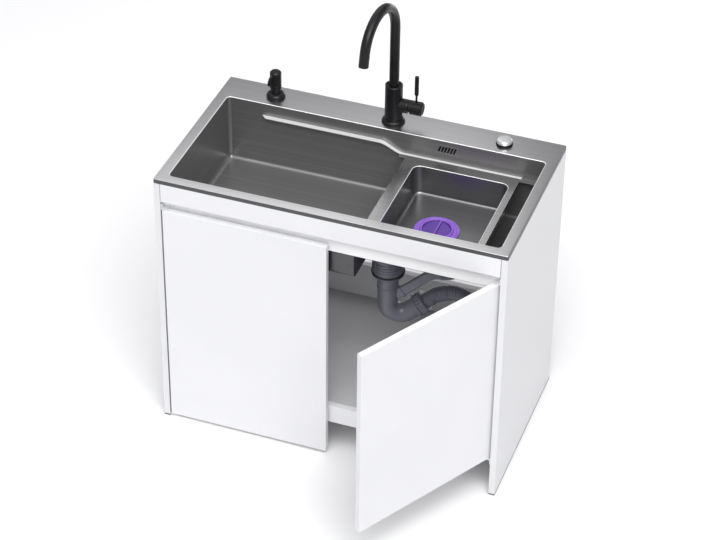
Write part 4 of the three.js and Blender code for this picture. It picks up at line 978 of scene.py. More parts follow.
# The bend into the tray's opening takes the near-white steel: painted highlight.
part_finish(drawn_tray, highlight_edge_steel, lambda spot, way: (
    spot.z > tray_top - 0.8 * TRAY_EDGE and 0.15 < way.z < 0.97
    and open_x[0] - 4 < spot.x < open_x[1] + 4 and open_y[0] - 4 < spot.y < open_y[1] + 4
))


# ------------------------------------------------------------------ stopper
# A loose silicone stopper that lies in the tray. A thin sealing skirt runs round a raised
# ring, and a narrow fin across the cup serves to pull it out.

STOPPER_SKIRT = 63.5
STOPPER_CUP = 43
FIN_HALF = 2.2


def silicone_finish(name, dark, light):
    """Cast silicone with a faint bloom."""
    return grained(
        name, light, 0.42, grit=(0.9, 30.0), tone=(dark, light), sheen=(0.34, 0.48),
        press=(0.04, 0.4), Subsurface_Weight=0.15, Subsurface_Scale=0.004,
    )


silicone = silicone_finish("purple_silicone", (0.2, 0.09, 0.47), (0.26, 0.125, 0.55))
# Painted shade: a darker copy of the silicone for the stopper's cup.
shaded_cup_silicone = silicone_finish("purple_silicone_painted_shade", (0.085, 0.034, 0.25), (0.11, 0.047, 0.3))

low, high = span("sink_stopper")
base, rim = low.z, high.z
skirt_top = base + 3.5
stopper_outline = [
    (0, base), (STOPPER_SKIRT - 2, base, 1), (STOPPER_SKIRT, base + 1.5, 0.8),
    (STOPPER_SKIRT - 0.8, skirt_top, 1.2), (58, skirt_top - 0.3, 1), (57, skirt_top + 0.9, 0.8),
    (55.5, skirt_top + 0.9, 0.8), (54.5, skirt_top - 0.4, 1), (STOPPER_CUP + 4, skirt_top, 2.5),
    (STOPPER_CUP + 2, rim, 1.2), (STOPPER_CUP - 2, rim, 1.2), (STOPPER_CUP - 4.5, base + 2.6, 2),
    (STOPPER_CUP - 10, base + 2.4, 1), (0, base + 2.4),
]
fin_reach = STOPPER_CUP - 3
fin = softened(
    block((-FIN_HALF, -fin_reach, base + 1.5), (FIN_HALF, fin_reach, rim - 0.8)), 1.2, 3
)
stopper_shape = carved(turned(eased(stopper_outline, 1), 120), [fin], "UNION")
stopper_place = Vector((*middle("sink_stopper").xy, 0))
stopper = piece(
    "stopper_moulding", placed(stopper_shape, stopper_place), "stopper", silicone,
    "sink_stopper", sharp=40,
)
# The cup's inner faces take the darker silicone: painted shade.
part_finish(stopper, shaded_cup_silicone, lambda spot, way: (
    spot.z < rim - 1.5 and (spot - stopper_place).xy.length < STOPPER_CUP - 1 and way.z > -0.5
    and abs(spot.x - stopper_place.x) > FIN_HALF - 0.6
))


# ------------------------------------------------------------------ drain
# A chromed strainer ring screws through the bowl's floor onto a housing moulded in slate
# plastic, over a rubber gasket. The chromed plug rises on its stem.

FIT = 0.3  # gap between pieces that sit or slide together
FLANGE_RADIUS = 56
FLANGE_BORE = 38
FLANGE_NECK = 26
FLANGE_WALL = 2
BAR_HALF = 3
HUB = (8, 4.4)  # radius and bore
PLUG_STEM = 4

chrome = grained(
    "chrome_plate", (0.8, 0.81, 0.82), 0.08, grit=(1.2, 22.0),
    tone=((0.76, 0.77, 0.78), (0.84, 0.85, 0.86)), sheen=(0.05, 0.13), press=(0.004, 0.3),
    metallic=1.0,
)

# Its edges carry a painted highlight.
slate = grained(
    "slate_plastic", (0.12, 0.122, 0.15), 0.32, grit=(0.7, 45.0),
    tone=((0.115, 0.117, 0.144), (0.128, 0.13, 0.16)), sheen=(0.28, 0.34), press=(0.03, 0.35),
    edge=((0.2, 0.204, 0.235), 0.8, 0.4),
)

rubber = grained(
    "black_rubber", (0.012, 0.012, 0.013), 0.75, grit=(0.6, 18.0),
    tone=((0.01, 0.01, 0.011), (0.02, 0.02, 0.021)), press=(0.04, 0.6),
)

floor_top = deck_top - BOWL_DEPTH + FIT
ring_outline = eased([
    (FLANGE_BORE, floor_top - FLANGE_NECK), (FLANGE_BORE + FLANGE_WALL, floor_top - FLANGE_NECK),
    (FLANGE_BORE + FLANGE_WALL, floor_top, 0), (FLANGE_RADIUS, floor_top, 0.3),
    (FLANGE_RADIUS - 0.6, floor_top + 1.2, 0.9), (FLANGE_RADIUS - 6, floor_top + 1.9, 3),
    (FLANGE_BORE + 5, floor_top + 1.6, 3), (FLANGE_BORE, floor_top - 1.6, 2),
], 0.5, closed=True)
bar_low = floor_top - FLANGE_NECK
reach = FLANGE_BORE + 1
strainer = [
    softened(block((-reach, -BAR_HALF, bar_low), (reach, BAR_HALF, bar_low + 3)), 0.8),
    softened(block((-BAR_HALF, -reach, bar_low), (BAR_HALF, reach, bar_low + 3)), 0.8),
    turned(eased([
        (HUB[1], bar_low), (HUB[0], bar_low), (HUB[0], bar_low + 6), (HUB[1], bar_low + 6),
    ], 0.6, closed=True), closed=True),
]
strainer_ring = carved(turned(ring_outline, 120, closed=True), strainer, "UNION")
strainer_ring = carved(strainer_ring, [rod(HUB[1], bar_low - 1, bar_low + 8)])
drain_place = (waste_middle.x, waste_middle.y, 0)
piece(
    "strainer_ring", placed(strainer_ring, drain_place), "unit", chrome, "waste_flange",
)

low, high = span("waste_plug")
disc_radius = (high.x - low.x) / 2
plug_outline = [
    (0, low.z), (PLUG_STEM, low.z, 1), (PLUG_STEM, high.z - 6.5, 0.6),
    (disc_radius - 1, high.z - 6.5, 0.6), (disc_radius, high.z - 5.4, 0.5),
    (disc_radius, high.z - 3.5, 0.8), (disc_radius - 3.5, high.z - 1.5, 1.5),
    (disc_radius - 8, high.z - 0.9, 4), (0, high.z),
]
lathed(
    "plug_disc", plug_outline, 1, drain_place, "waste_plug", chrome, "waste_plug", 120
)

low, high = span("waste_gasket")
gasket_bore = FLANGE_BORE + FLANGE_WALL + 2.5
gasket_outline = [
    (gasket_bore, low.z), (FLANGE_RADIUS, low.z), (FLANGE_RADIUS, high.z), (gasket_bore, high.z),
]
lathed(
    "gasket_ring", gasket_outline, 1.2, drain_place, "unit", rubber,
    "waste_gasket", closed=True,
)

HOUSING_RADIUS = 44
HOUSING_BORE = 41
HOUSING_RIBS = 5
RIB_PITCH = 9
RIB_OUT = 1.4
OUTLET_BORE = 26
OUTLET_RADIUS = 30
LIP_RADIUS = 45.5  # ring round the lower end
LIP_TOP = 549

low, high = span("waste_housing")
top, bottom = high.z, low.z
housing_outline = [
    (OUTLET_BORE, bottom), (OUTLET_RADIUS, bottom, 0.8), (OUTLET_RADIUS, LIP_TOP - 24, 0.5),
    (OUTLET_RADIUS + 1.2, LIP_TOP - 23, 0.5), (OUTLET_RADIUS + 1.2, LIP_TOP - 6, 1),
    (LIP_RADIUS, LIP_TOP - 4, 1), (LIP_RADIUS, LIP_TOP, 1),
    (HOUSING_RADIUS, LIP_TOP + 2, 1),
]
for i in range(HOUSING_RIBS):
    middle_z = top - 16 - (HOUSING_RIBS - 1 - i) * RIB_PITCH
    housing_outline += [
        (HOUSING_RADIUS, middle_z - 2.2, 0.6), (HOUSING_RADIUS + RIB_OUT, middle_z - 1.4, 0.5),
        (HOUSING_RADIUS + RIB_OUT, middle_z + 1.4, 0.5), (HOUSING_RADIUS, middle_z + 2.2, 0.6),
    ]
housing_outline += [
    (HOUSING_RADIUS, top - 7, 1), (FLANGE_RADIUS, top - 7, 0.8), (FLANGE_RADIUS, top, 0.8),
    (HOUSING_BORE, top, 0.6), (HOUSING_BORE, LIP_TOP + 6, 2),
    (OUTLET_BORE, LIP_TOP - 3, 1),
]
lathed(
    "drain_housing", housing_outline, 1, drain_place, "unit", slate,
    "waste_housing", 120, closed=True,
)

SEAL_OUT = 2.6
seal_outline = [
    (HOUSING_RADIUS + FIT, LIP_TOP + 2.3), (LIP_RADIUS + 0.6, LIP_TOP + 1),
    (HOUSING_RADIUS + SEAL_OUT + 0.6, LIP_TOP + 2.4),
    (HOUSING_RADIUS + SEAL_OUT, LIP_TOP + 6.5), (HOUSING_RADIUS + FIT, LIP_TOP + 7),
]
lathed(
    "housing_seal", seal_outline, 0.6, drain_place, "unit", rubber, sides=120,
    closed=True,
)


# ------------------------------------------------------------------ trap
# A moulded U bend in the same slate plastic. Its outlet arm climbs to the right, and a flat
# side arm takes the overflow pipe. A ribbed nut clamps the hose onto the outlet arm.

PIPE_RADIUS = 29
PIPE_BORE = 26
BEND_RADIUS = 38
BEND_STEPS = 36
TRAP_TURN = math.radians(20)
ARM_RISE = math.radians(36)
ARM_LENGTH = 42
SIDE_ARM_FROM = Vector((26, 0, -30))  # from the top of the pipe's middle
SIDE_ARM_WAY = Vector((0.73, 0.06, 0.68)).normalized()
SIDE_ARM_LENGTH = 25
FLAT_TUBE = (30, 14)  # width and thickness
FLAT_SIDES = 24


def frames_on(path):
    """Points with their direction and two cross directions, carried along without a twist."""
    steps = []
    up = None
    for i, point in enumerate(path):
        ahead_point = path[min(i + 1, len(path) - 1)]
        behind_point = path[max(i - 1, 0)]
        way = (ahead_point - behind_point).normalized()
        if up is None:
            up = Vector((0, 1, 0)) if abs(way.y) < 0.9 else Vector((1, 0, 0))
        up = (up - way * up.dot(way)).normalized()
        steps.append((point, way, up, way.cross(up)))
    return steps


def round_tube(path, radius, sides=48):
    """Rings of a round tube on a path. The radius may be a function of the ring's number."""
    rings = []
    for k, (point, way, up, aside) in enumerate(frames_on(path)):
        r = radius(k) if callable(radius) else radius
        rings.append([
            tuple(
                point + up * (r * math.cos(2 * math.pi * i / sides))
                + aside * (r * math.sin(2 * math.pi * i / sides))
            )
            for i in range(sides)
        ])
    return rings


def flat_ring(point, way, wide, thin):
    """A flat section with round edges. It stays level where the path is level."""
    thin_way = way.cross(Vector((1, 0, 0))).normalized()
    wide_way = thin_way.cross(way).normalized()
    ring = []
    for i in range(FLAT_SIDES):
        angle = 2 * math.pi * (i + 0.5) / FLAT_SIDES
        across = math.copysign((wide - thin) / 2, math.cos(angle)) + thin / 2 * math.cos(angle)
        ring.append(tuple(
            point + wide_way * across + thin_way * (thin / 2 * math.sin(angle))
        ))
    return ring


def laid(shape, place, way):
    """A turned shape with its axis laid along a direction."""
    turn_to = Vector((0, 0, 1)).rotation_difference(Vector(way)).to_matrix().to_4x4()
    return placed(shape, Matrix.Translation(Vector(place)) @ turn_to)


low, high = span("trap_bend")
pipe_top = high.z
bend_z = low.z + PIPE_RADIUS + BEND_RADIUS
trap_way = Vector((math.cos(TRAP_TURN), math.sin(TRAP_TURN), 0))


def trap_point(along, z):
    """A point in the upright plane of the bend."""
    return Vector((waste_middle.x, waste_middle.y, z)) + trap_way * along


sweep = math.pi / 2 + ARM_RISE
arm_way = trap_way * math.cos(ARM_RISE) + Vector((0, 0, math.sin(ARM_RISE)))
bend_line = [
    trap_point(BEND_RADIUS * (1 - math.cos(sweep * i / BEND_STEPS)),
               bend_z - BEND_RADIUS * math.sin(sweep * i / BEND_STEPS))
    for i in range(BEND_STEPS + 1)
]
arm_end = bend_line[-1] + arm_way * ARM_LENGTH
outer_line = [trap_point(0, pipe_top)] + bend_line + [arm_end]
inner_line = [trap_point(0, pipe_top + 5)] + bend_line + [arm_end + arm_way * 5]
side_arm_start = trap_point(0, pipe_top) + SIDE_ARM_FROM
side_arm = skinned([
    flat_ring(side_arm_start + SIDE_ARM_WAY * far, SIDE_ARM_WAY, *FLAT_TUBE)
    for far in (0, SIDE_ARM_LENGTH)
])
side_collar = skinned([
    flat_ring(side_arm_start + SIDE_ARM_WAY * far, SIDE_ARM_WAY,
              FLAT_TUBE[0] + grow, FLAT_TUBE[1] + grow)
    for far, grow in ((15, 3), (16, 5), (SIDE_ARM_LENGTH - 1.2, 5), (SIDE_ARM_LENGTH, 3))
])
collar_line = [trap_point(0, pipe_top - far) for far in (2, 2.8, 9.2, 10)]
collar = skinned(round_tube(collar_line, lambda k: PIPE_RADIUS + (0.2, 1.2, 1.2, 0.2)[k]))
trap_shape = carved(
    skinned(round_tube(outer_line, PIPE_RADIUS)), [side_arm, side_collar, collar], "UNION"
)
trap_shape = carved(trap_shape, [skinned(round_tube(inner_line, PIPE_BORE))])
piece("trap_moulding", trap_shape, "unit", slate, "trap_bend")

NUT_OUTER = 33.5
NUT_TEETH = 24
TEETH_HALF = 6.5  # half the height of the toothed band
TOOTH_OUT = 1.1
NUT_HALF = 13
NUT_SOCKET = 22.8  # takes the end of the hose


def nut_teeth(radius, height, angle):
    """The nut's middle band has rounded teeth to grip it by."""
    if radius < NUT_OUTER - 3 or abs(height) > TEETH_HALF:
        return radius
    return radius + TOOTH_OUT * math.cos(NUT_TEETH * angle) ** 3


nut_outline = eased([
    (PIPE_RADIUS + FIT, -NUT_HALF), (NUT_OUTER + 1.5, -NUT_HALF), (NUT_OUTER + 1.5, -8),
    (NUT_OUTER - 2, -7, 0.4), (NUT_OUTER - 2, -6, 0), (NUT_OUTER - 2, 5.5, 0),
    (NUT_OUTER - 2, 6.6, 0.4), (NUT_OUTER, 7.4, 0.5), (NUT_OUTER, 12, 1), (NUT_OUTER - 3, 15, 0.8),
    (NUT_SOCKET, 15, 0.4), (NUT_SOCKET, FIT, 0), (PIPE_RADIUS + FIT, FIT, 0),
], 0.7, closed=True)
nut_shape = turned(nut_outline, NUT_TEETH * 8, closed=True, ripple=nut_teeth)
piece(
    "trap_clamp_nut", laid(nut_shape, arm_end, arm_way), "unit", slate,
    "trap_nut",
)


# ------------------------------------------------------------------ waste hose
# A corrugated plastic hose, blown in a rib mould. It runs from the nut over a rise and down
# into a connector that is pushed into the bottom board. Both ends are held.

HOSE_CREST = 22.5
HOSE_VALLEY = 20.2
HOSE_BORE = 17
CONNECTOR_STEP = 4  # from the connector's flange up to the floor of its socket
HOSE_PITCH = 5.2
BORE_SKIP = 8  # the smooth bore needs only every eighth ring
HOSE_SIDES = 40
HOSE_STRAIGHT = 2 * HOSE_CREST  # straight run at each end
HOSE_WAY = (
    (0.38, 0.13, 21), (0.66, 0.49, 0), (0.86, 0.75, -58), (0.96, 0.93, -138), (1, 1, -218),
)


def smooth_route(stops, pitch):
    """A smooth line through the stops, with points an equal distance apart."""
    ends = [2 * stops[0] - stops[1], *stops, 2 * stops[-1] - stops[-2]]
    fine, steps = [], 40
    for a, b, c, d in zip(ends, ends[1:], ends[2:], ends[3:]):
        gaps = [math.sqrt((q - p).length) for p, q in ((a, b), (b, c), (c, d))]
        out = ((b - a) / gaps[0] - (c - a) / (gaps[0] + gaps[1]) + (c - b) / gaps[1]) * gaps[1]
        into = ((c - b) / gaps[1] - (d - b) / (gaps[1] + gaps[2]) + (d - c) / gaps[2]) * gaps[1]
        for i in range(steps):
            t = i / steps
            fine.append(
                b * (2 * t ** 3 - 3 * t ** 2 + 1) + out * (t ** 3 - 2 * t ** 2 + t)
                + c * (3 * t ** 2 - 2 * t ** 3) + into * (t ** 3 - t ** 2)
            )
    fine.append(stops[-1])
    lengths = [0]
    for p, q in zip(fine, fine[1:]):
        lengths.append(lengths[-1] + (q - p).length)
    count = max(2, round(lengths[-1] / pitch))
    even, k = [], 0
    for i in range(count + 1):
        goal = lengths[-1] * i / count
        while k < len(fine) - 2 and lengths[k + 1] < goal:
            k += 1
        share = (goal - lengths[k]) / max(1e-6, lengths[k + 1] - lengths[k])
        even.append(fine[k].lerp(fine[k + 1], min(1, share)))
    return even


outlet = middle("hose_connector")
outlet_floor = span("bottom_board")[1].z + CONNECTOR_STEP + FIT
hose_start = arm_end + arm_way * 2 * FIT
free = hose_start + arm_way * HOSE_STRAIGHT
hose_stops = [hose_start, hose_start + arm_way * HOSE_STRAIGHT / 2, free]
hose_stops += [
    Vector((
        free.x + (outlet.x - free.x) * across, free.y + (outlet.y - free.y) * back, free.z + rise,
    ))
    for across, back, rise in HOSE_WAY
]
hose_stops += [
    Vector((outlet.x, outlet.y, outlet_floor + HOSE_STRAIGHT)),
    Vector((outlet.x, outlet.y, outlet_floor + FIT)),
]
rib_shape = (0.0, 0.55, 1.0, 1.0, 0.55, 0.0)  # from valley to crest and back
hose_line = smooth_route(hose_stops, HOSE_PITCH / len(rib_shape))
hose_rings = round_tube(
    hose_line,
    lambda k: HOSE_VALLEY + (HOSE_CREST - HOSE_VALLEY) * rib_shape[k % len(rib_shape)],
    HOSE_SIDES,
)
hose_rings += round_tube(hose_line, HOSE_BORE, HOSE_SIDES)[::-BORE_SKIP]
# Painted light: a lighter copy of the slate plastic for the hose, against the shade of its ribs.
lightened_hose_slate = grained(
    "lightened_hose_slate", (0.17, 0.173, 0.205), 0.36, grit=(0.7, 45.0),
    tone=((0.165, 0.167, 0.2), (0.18, 0.183, 0.218)), sheen=(0.32, 0.4), press=(0.03, 0.35),
)
piece(
    "corrugated_hose", skinned(hose_rings, looped=True), "unit", lightened_hose_slate,
    "waste_hose", sharp=60,
)

CONNECTOR_TUBE = 26
CONNECTOR_BORE = 19.2
CONNECTOR_FLANGE = 37
low, high = span("hose_connector")
board_top = outlet_floor - CONNECTOR_STEP
connector_outline = [
    (CONNECTOR_BORE, low.z), (CONNECTOR_TUBE, low.z, 1.2), (CONNECTOR_TUBE, board_top, 0),
    (CONNECTOR_FLANGE, board_top, 0.5), (CONNECTOR_FLANGE, board_top + 3, 1),
    (CONNECTOR_TUBE + 1, board_top + 4, 2), (CONNECTOR_TUBE, board_top + 6, 1),
    (CONNECTOR_TUBE, high.z, 1.2), (NUT_SOCKET, high.z, 0.8),
    (NUT_SOCKET, outlet_floor, 0.3), (CONNECTOR_BORE, outlet_floor, 0.5),
]
lathed(
    "connector_collar", connector_outline, 0.8, (outlet.x, outlet.y, 0), "unit", slate,
    "hose_connector", closed=True,
)


# ------------------------------------------------------------------ overflow
# A steel plate with slanted slots on the bowl's back wall, a moulded box behind it, and a flat
# pipe that climbs from the trap, passes under the bowl and rises behind it.

SLOTS = 6
SLOT_WIDE = 6.2
SLOT_TALL = 20
SLOT_LEAN = 7
BOX_WALL = 2.5
PIPE_WAY = (
    (51, 0.03, -59), (106, 0.06, -52), (136, 0.32, -43), (122, 0.7, -36), (81, 0.96, -27),
    (35, 1.025, 7), (7, 1.007, 55), (0, 1, 105),
)

low, high = span("overflow_grille")
slot_cuts = []
for i in range(SLOTS):
    x = low.x + 4.5 + (high.x - low.x - 9) * (i + 0.5) / SLOTS
    slot_outline = eased([
        (x + end * SLOT_LEAN / 2 + side * SLOT_WIDE / 2, slot_middle.z + end * SLOT_TALL / 2)
        for end, side in ((-1, -1), (-1, 1), (1, 1), (1, -1))
    ], 1.6, closed=True)
    slot_cuts.append(pushed(slot_outline, low.y - 2, high.y + 2, axis="y"))
grille_shape = carved(softened(block(low, high), 0.5), slot_cuts)
# The plate takes the bowl's darker steel: painted shade.
piece("overflow_plate", grille_shape, "unit", shaded_bowl_steel, "overflow_grille")

low, high = span("overflow_box")
hollow = block(
    (slot_middle.x - OVERFLOW_SLOT[0], low.y - 1, slot_middle.z - OVERFLOW_SLOT[1]),
    (slot_middle.x + OVERFLOW_SLOT[0], high.y - BOX_WALL, slot_middle.z + OVERFLOW_SLOT[1]),
)
chamber = piece(
    "overflow_chamber", carved(softened(block(low, high), 2.5, 3), [hollow]), "unit", slate,
    "overflow_box",
)
# The chamber's inner faces take the black rubber finish: painted shade behind the slots.
part_finish(chamber, rubber, lambda spot, way: (
    way.dot(spot - (low + high) / 2) < 0 and low.y + 1 < spot.y < high.y - 1
))

behind = (low.y + high.y) / 2
bowl_floor = deck_top - BOWL_DEPTH
pipe_stops = [
    side_arm_start + SIDE_ARM_WAY * (SIDE_ARM_LENGTH + far) for far in (FIT, 30, 66)
]
pipe_stops += [
    Vector((
        slot_middle.x + across, waste_middle.y + (behind - waste_middle.y) * back,
        bowl_floor + height,
    ))
    for across, back, height in PIPE_WAY
]
pipe_stops.append(Vector((slot_middle.x, behind, low.z - FIT)))
pipe_line = smooth_route(pipe_stops, 5)
pipe_rings = [flat_ring(point, way, *FLAT_TUBE) for point, way, _, _ in frames_on(pipe_line)]
piece("overflow_tube", skinned(pipe_rings), "unit", slate, "overflow_pipe")


# ------------------------------------------------------------------ tap
# A single-lever tap in brass with a matte black coat. Its swan-neck spout turns in the body.
# The valve stands out to the right and carries a slanted cap with a pin lever.

COLUMN = 25
COLUMN_RISE = 122
SPOUT_RADIUS = 14
SPOUT_WALL = 2.5
SPOUT_SOCKET = 27
SPOUT_RISE = 305.8
SPOUT_ARC = 99
SPOUT_STEPS = 64
SPOUT_SWEEP = math.radians(168)
SPOUT_TIP = 36  # straight end of the spout
RIM_LONG = 0.8  # broken edge of the mouth: along the spout and inwards
RIM_IN = 0.7
SPOUT_TURN = math.radians(-5.5)
VALVE_RISE = 58
VALVE_RADIUS = 20
VALVE_SEAM = 44
CARTRIDGE_RADIUS = 15
CAP_LENGTH = 41
CAP_SLANT = math.tan(math.radians(12))
LEVER_OUT = 66
LEVER_TOP = 161
LEVER = (3, 6)  # pin and grip radius

# Its edges carry a painted highlight.
black_coat = grained(
    "matte_black_coat", (0.006, 0.006, 0.007), 0.3, grit=(0.35, 60.0),
    tone=((0.009, 0.009, 0.01), (0.013, 0.013, 0.014)), sheen=(0.28, 0.36), press=(0.02, 0.4),
    edge=((0.028, 0.028, 0.029), 0.9, 0.5), Specular_IOR_Level=0.22, Coat_Weight=0.04,
    Coat_Roughness=0.3,
)

tap = middle("tap_flange")
tap_foot = (tap.x, tap.y, 0)
base = deck_top + FIT

flange_outline = [
    (COLUMN + FIT, base), (33, base, 0.5), (33, base + 3, 0.8), (31.5, base + 7.5, 2.5),
    (28.6, base + 10, 2), (27.4, base + 11.6, 1), (COLUMN + FIT, base + 12, 0.4),
]
lathed(
    "tap_foot_ring", flange_outline, 0.6, tap_foot, "unit", black_coat,
    "tap_flange", closed=True,
)

column_top = deck_top + COLUMN_RISE
socket_low = column_top - SPOUT_SOCKET
valve_z = deck_top + VALVE_RISE
column_outline = [
    (0, base), (COLUMN, base, 0.4), (COLUMN, column_top - 2, 1.2), (COLUMN - 2, column_top, 1.2),
    (SPOUT_RADIUS + 5, column_top, 0.8),
    (SPOUT_RADIUS + 3, column_top - 4, 0.5), (SPOUT_RADIUS + FIT, column_top - 4, 0.3),
    (SPOUT_RADIUS + FIT, socket_low, 0), (0, socket_low),
]
neck_outline = [
    (0, 0), (VALVE_RADIUS, 0, 0), (VALVE_RADIUS, VALVE_SEAM - 2.4, 0.3),
    (VALVE_RADIUS - 0.6, VALVE_SEAM, 0.4), (0, VALVE_SEAM),
]
right_way = Vector((1, 0, 0))
valve_neck = laid(turned(eased(neck_outline, 0.5)), (0, 0, valve_z), right_way)
valve_bore = laid(
    rod(CARTRIDGE_RADIUS + FIT, VALVE_SEAM - 12, VALVE_SEAM + 1), (0, 0, valve_z), right_way
)
body_shape = carved(turned(eased(column_outline, 0.5)), [valve_neck], "UNION")
body_shape = carved(body_shape, [valve_bore])
piece("tap_column", placed(body_shape, tap_foot), "unit", black_coat, "tap_body")
dress(black_coat, "tap_cartridge")
dress(zinc, "tap_shank", "tap_nut")

mouth = VALVE_SEAM + 0.8
cap_end = mouth + CAP_LENGTH
cap_outline = [
    (0, mouth), (VALVE_RADIUS, mouth, 0), (VALVE_RADIUS, cap_end - 4, 2),
    (VALVE_RADIUS - 4, cap_end, 2), (8, cap_end - 0.3, 3), (0, cap_end - 0.5),
]
cap_shape = laid(turned(eased(cap_outline, 1)), (0, 0, valve_z), right_way)
reach = 2 * VALVE_RADIUS
slant_cut = pushed([
    (mouth - 1, valve_z + VALVE_RADIUS), (mouth - 1, valve_z - reach),
    (mouth + (reach + VALVE_RADIUS) * CAP_SLANT, valve_z - reach), (mouth, valve_z + VALVE_RADIUS),
], -reach, reach, axis="y")
cap_bore = laid(rod(CARTRIDGE_RADIUS + 2.5, mouth - 1, VALVE_SEAM + 17), (0, 0, valve_z), right_way)
pin_foot = valve_z + VALVE_RADIUS - 12
pin_hole = rod(LEVER[0] + FIT, pin_foot, valve_z + reach, LEVER_OUT)
cap_shape = carved(cap_shape, [slant_cut, cap_bore, pin_hole])
handle_cap = piece(
    "tap_handle_cap", placed(cap_shape, tap_foot), "handle", black_coat,
    "tap_handle",
)
# The cap's flat end face takes the black rubber finish: painted shade in place of its reflection.
part_finish(handle_cap, rubber, lambda spot, way: way.x > 0.95)

grip_low, grip_top = deck_top + LEVER_TOP - 58, deck_top + LEVER_TOP
lever_outline = [
    (0, pin_foot + 1), (LEVER[0], pin_foot + 1, 0.5), (LEVER[0], grip_low - 6, 1.5),
    (LEVER[1], grip_low, 2), (LEVER[1], grip_top, 2), (0, grip_top),
]
lathed(
    "tap_pin_lever", lever_outline, 1, (tap.x + LEVER_OUT, tap.y, 0), "handle", black_coat,
    "tap_lever", 64,
)

forward = Vector((math.sin(SPOUT_TURN), -math.cos(SPOUT_TURN), 0))


def spout_point(reach, z):
    """A point in the upright plane of the spout."""
    return Vector((tap.x, tap.y, z)) + forward * reach


arc_start = deck_top + SPOUT_RISE
spout_line = [
    spout_point(0, socket_low + FIT), spout_point(0, socket_low + 1), spout_point(0, arc_start - 60),
]
spout_line += [
    spout_point(SPOUT_ARC * (1 - math.cos(SPOUT_SWEEP * i / SPOUT_STEPS)),
                arc_start + SPOUT_ARC * math.sin(SPOUT_SWEEP * i / SPOUT_STEPS))
    for i in range(SPOUT_STEPS + 1)
]
out_way = forward * math.sin(SPOUT_SWEEP) + Vector((0, 0, math.cos(SPOUT_SWEEP)))
spout_end = spout_line[-1] + out_way * SPOUT_TIP
spout_line += [spout_end - out_way * SPOUT_TIP / 2, spout_end - out_way * RIM_LONG, spout_end]
last_ring = len(spout_line) - 1
spout_shape = skinned(round_tube(
    spout_line, lambda k: SPOUT_RADIUS - (RIM_IN if k in (0, last_ring) else 0), 64
))
mouth_bore = laid(rod(SPOUT_RADIUS - SPOUT_WALL, -14, 2), spout_end, out_way)
piece(
    "tap_swan_neck", carved(spout_shape, [mouth_bore]), "spout", black_coat,
    "tap_spout",
)

aerator_outline = [
    (0, -13.7), (11.2, -13.7, 0.5), (11.2, 1, 0.6), (9.2, 1, 0.5), (9.2, -1, 0.3),
    (7.4, -1, 0.2), (7.2, -0.2, 0.2), (6.6, -0.2, 0.2), (6.4, -1, 0.2), (4.4, -1, 0.2),
    (4.2, -0.2, 0.2), (3.6, -0.2, 0.2), (3.4, -1, 0.2), (0, -1),
]
piece(
    "tap_aerator_insert", laid(turned(eased(aerator_outline, 0.3), 64), spout_end, out_way),
    "spout", black_coat, "tap_aerator",
)


# ------------------------------------------------------------------ soap pump
# A moulded pump with the same black coat. A nut holds its collar in the deck, and a milky
# bottle hangs below on the collar's thread. The head presses the stem's neck into the collar.

PUMP_SHANK = 13
PUMP_FLANGE = 27
PUMP_NECK = 13.9
PUMP_NECK_FIT = 0.5  # the head slips over the neck
PUMP_HEAD = 16.5
PUMP_STEM = 4
PUMP_STEM_HOLE = 4.4
BEAK_RADIUS = 4.5
BEAK_BORE = 2.6
BEAK_SIDES = 32
BEAK_HEADING = math.radians(-114)
BEAK_WAY = ((0, 78), (12, 76), (20, 70), (25, 60), (27, 48.5))

pump = middle("pump_stem")
pump_foot = (pump.x, pump.y, 0)
low, high = span("pump_collar")
collar_outline = [
    (0, low.z), (PUMP_SHANK, low.z, 1), (PUMP_SHANK, base, 0), (PUMP_FLANGE, base, 0.5),
    (PUMP_FLANGE, base + 5, 1.2), (PUMP_FLANGE - 1.5, base + 10, 2.5),
    (PUMP_FLANGE - 5, base + 14, 3), (PUMP_NECK + 3, high.z, 1.5), (PUMP_NECK + 0.4, high.z, 0.4),
    (PUMP_NECK + 0.4, base + 2.5, 0), (0, base + 2.5),
]
lathed(
    "pump_collar_moulding", collar_outline, 1, pump_foot, "unit", black_coat,
    "pump_collar", bores=[rod(PUMP_STEM_HOLE, low.z - 1, base + 4)],
)

low, high = span("pump_stem")
neck_low, neck_top = deck_top + 15.3, deck_top + 47.3
stem_outline = [
    (0, low.z), (PUMP_STEM, low.z, 0.8), (PUMP_STEM, neck_low, 0.3), (PUMP_NECK, neck_low, 0.6),
    (PUMP_NECK, neck_top, 0.6), (PUMP_STEM, neck_top, 0.4), (PUMP_STEM, high.z, 0.6), (0, high.z),
]
lathed(
    "pump_stem_moulding", stem_outline, 0.5, pump_foot, "pump_stem", black_coat,
    "pump_stem", 64,
)

low, high = span("pump_head")
head_low, head_top = deck_top + 31.3, high.z - 2.5
cap_depth = head_top - 12
head_outline = [
    (0, cap_depth), (PUMP_NECK + PUMP_NECK_FIT, cap_depth, 0.3),
    (PUMP_NECK + PUMP_NECK_FIT, head_low, 0.3),
    (PUMP_HEAD, head_low, 0.8), (PUMP_HEAD, head_low + 11, 0.3),
    (PUMP_HEAD - 0.5, head_low + 11.5, 0.2), (PUMP_HEAD - 0.5, head_low + 12.2, 0.2),
    (PUMP_HEAD, head_low + 12.7, 0.3),
    (PUMP_HEAD, head_top - 4, 2), (PUMP_HEAD - 4, head_top, 2.5), (8, head_top - 0.2, 3),
    (0, head_top - 0.6),
]
beak_stops = [
    Vector((reach * math.cos(BEAK_HEADING), reach * math.sin(BEAK_HEADING), deck_top + rise))
    for reach, rise in BEAK_WAY
]
beak_line = smooth_route(beak_stops, 1.5)
beak_last = len(beak_line) - 1
beak = skinned(round_tube(
    beak_line, lambda k: BEAK_RADIUS - {beak_last: 0.8, beak_last - 1: 0.15}.get(k, 0), BEAK_SIDES
))
tip_way = (beak_line[-1] - beak_line[-2]).normalized()
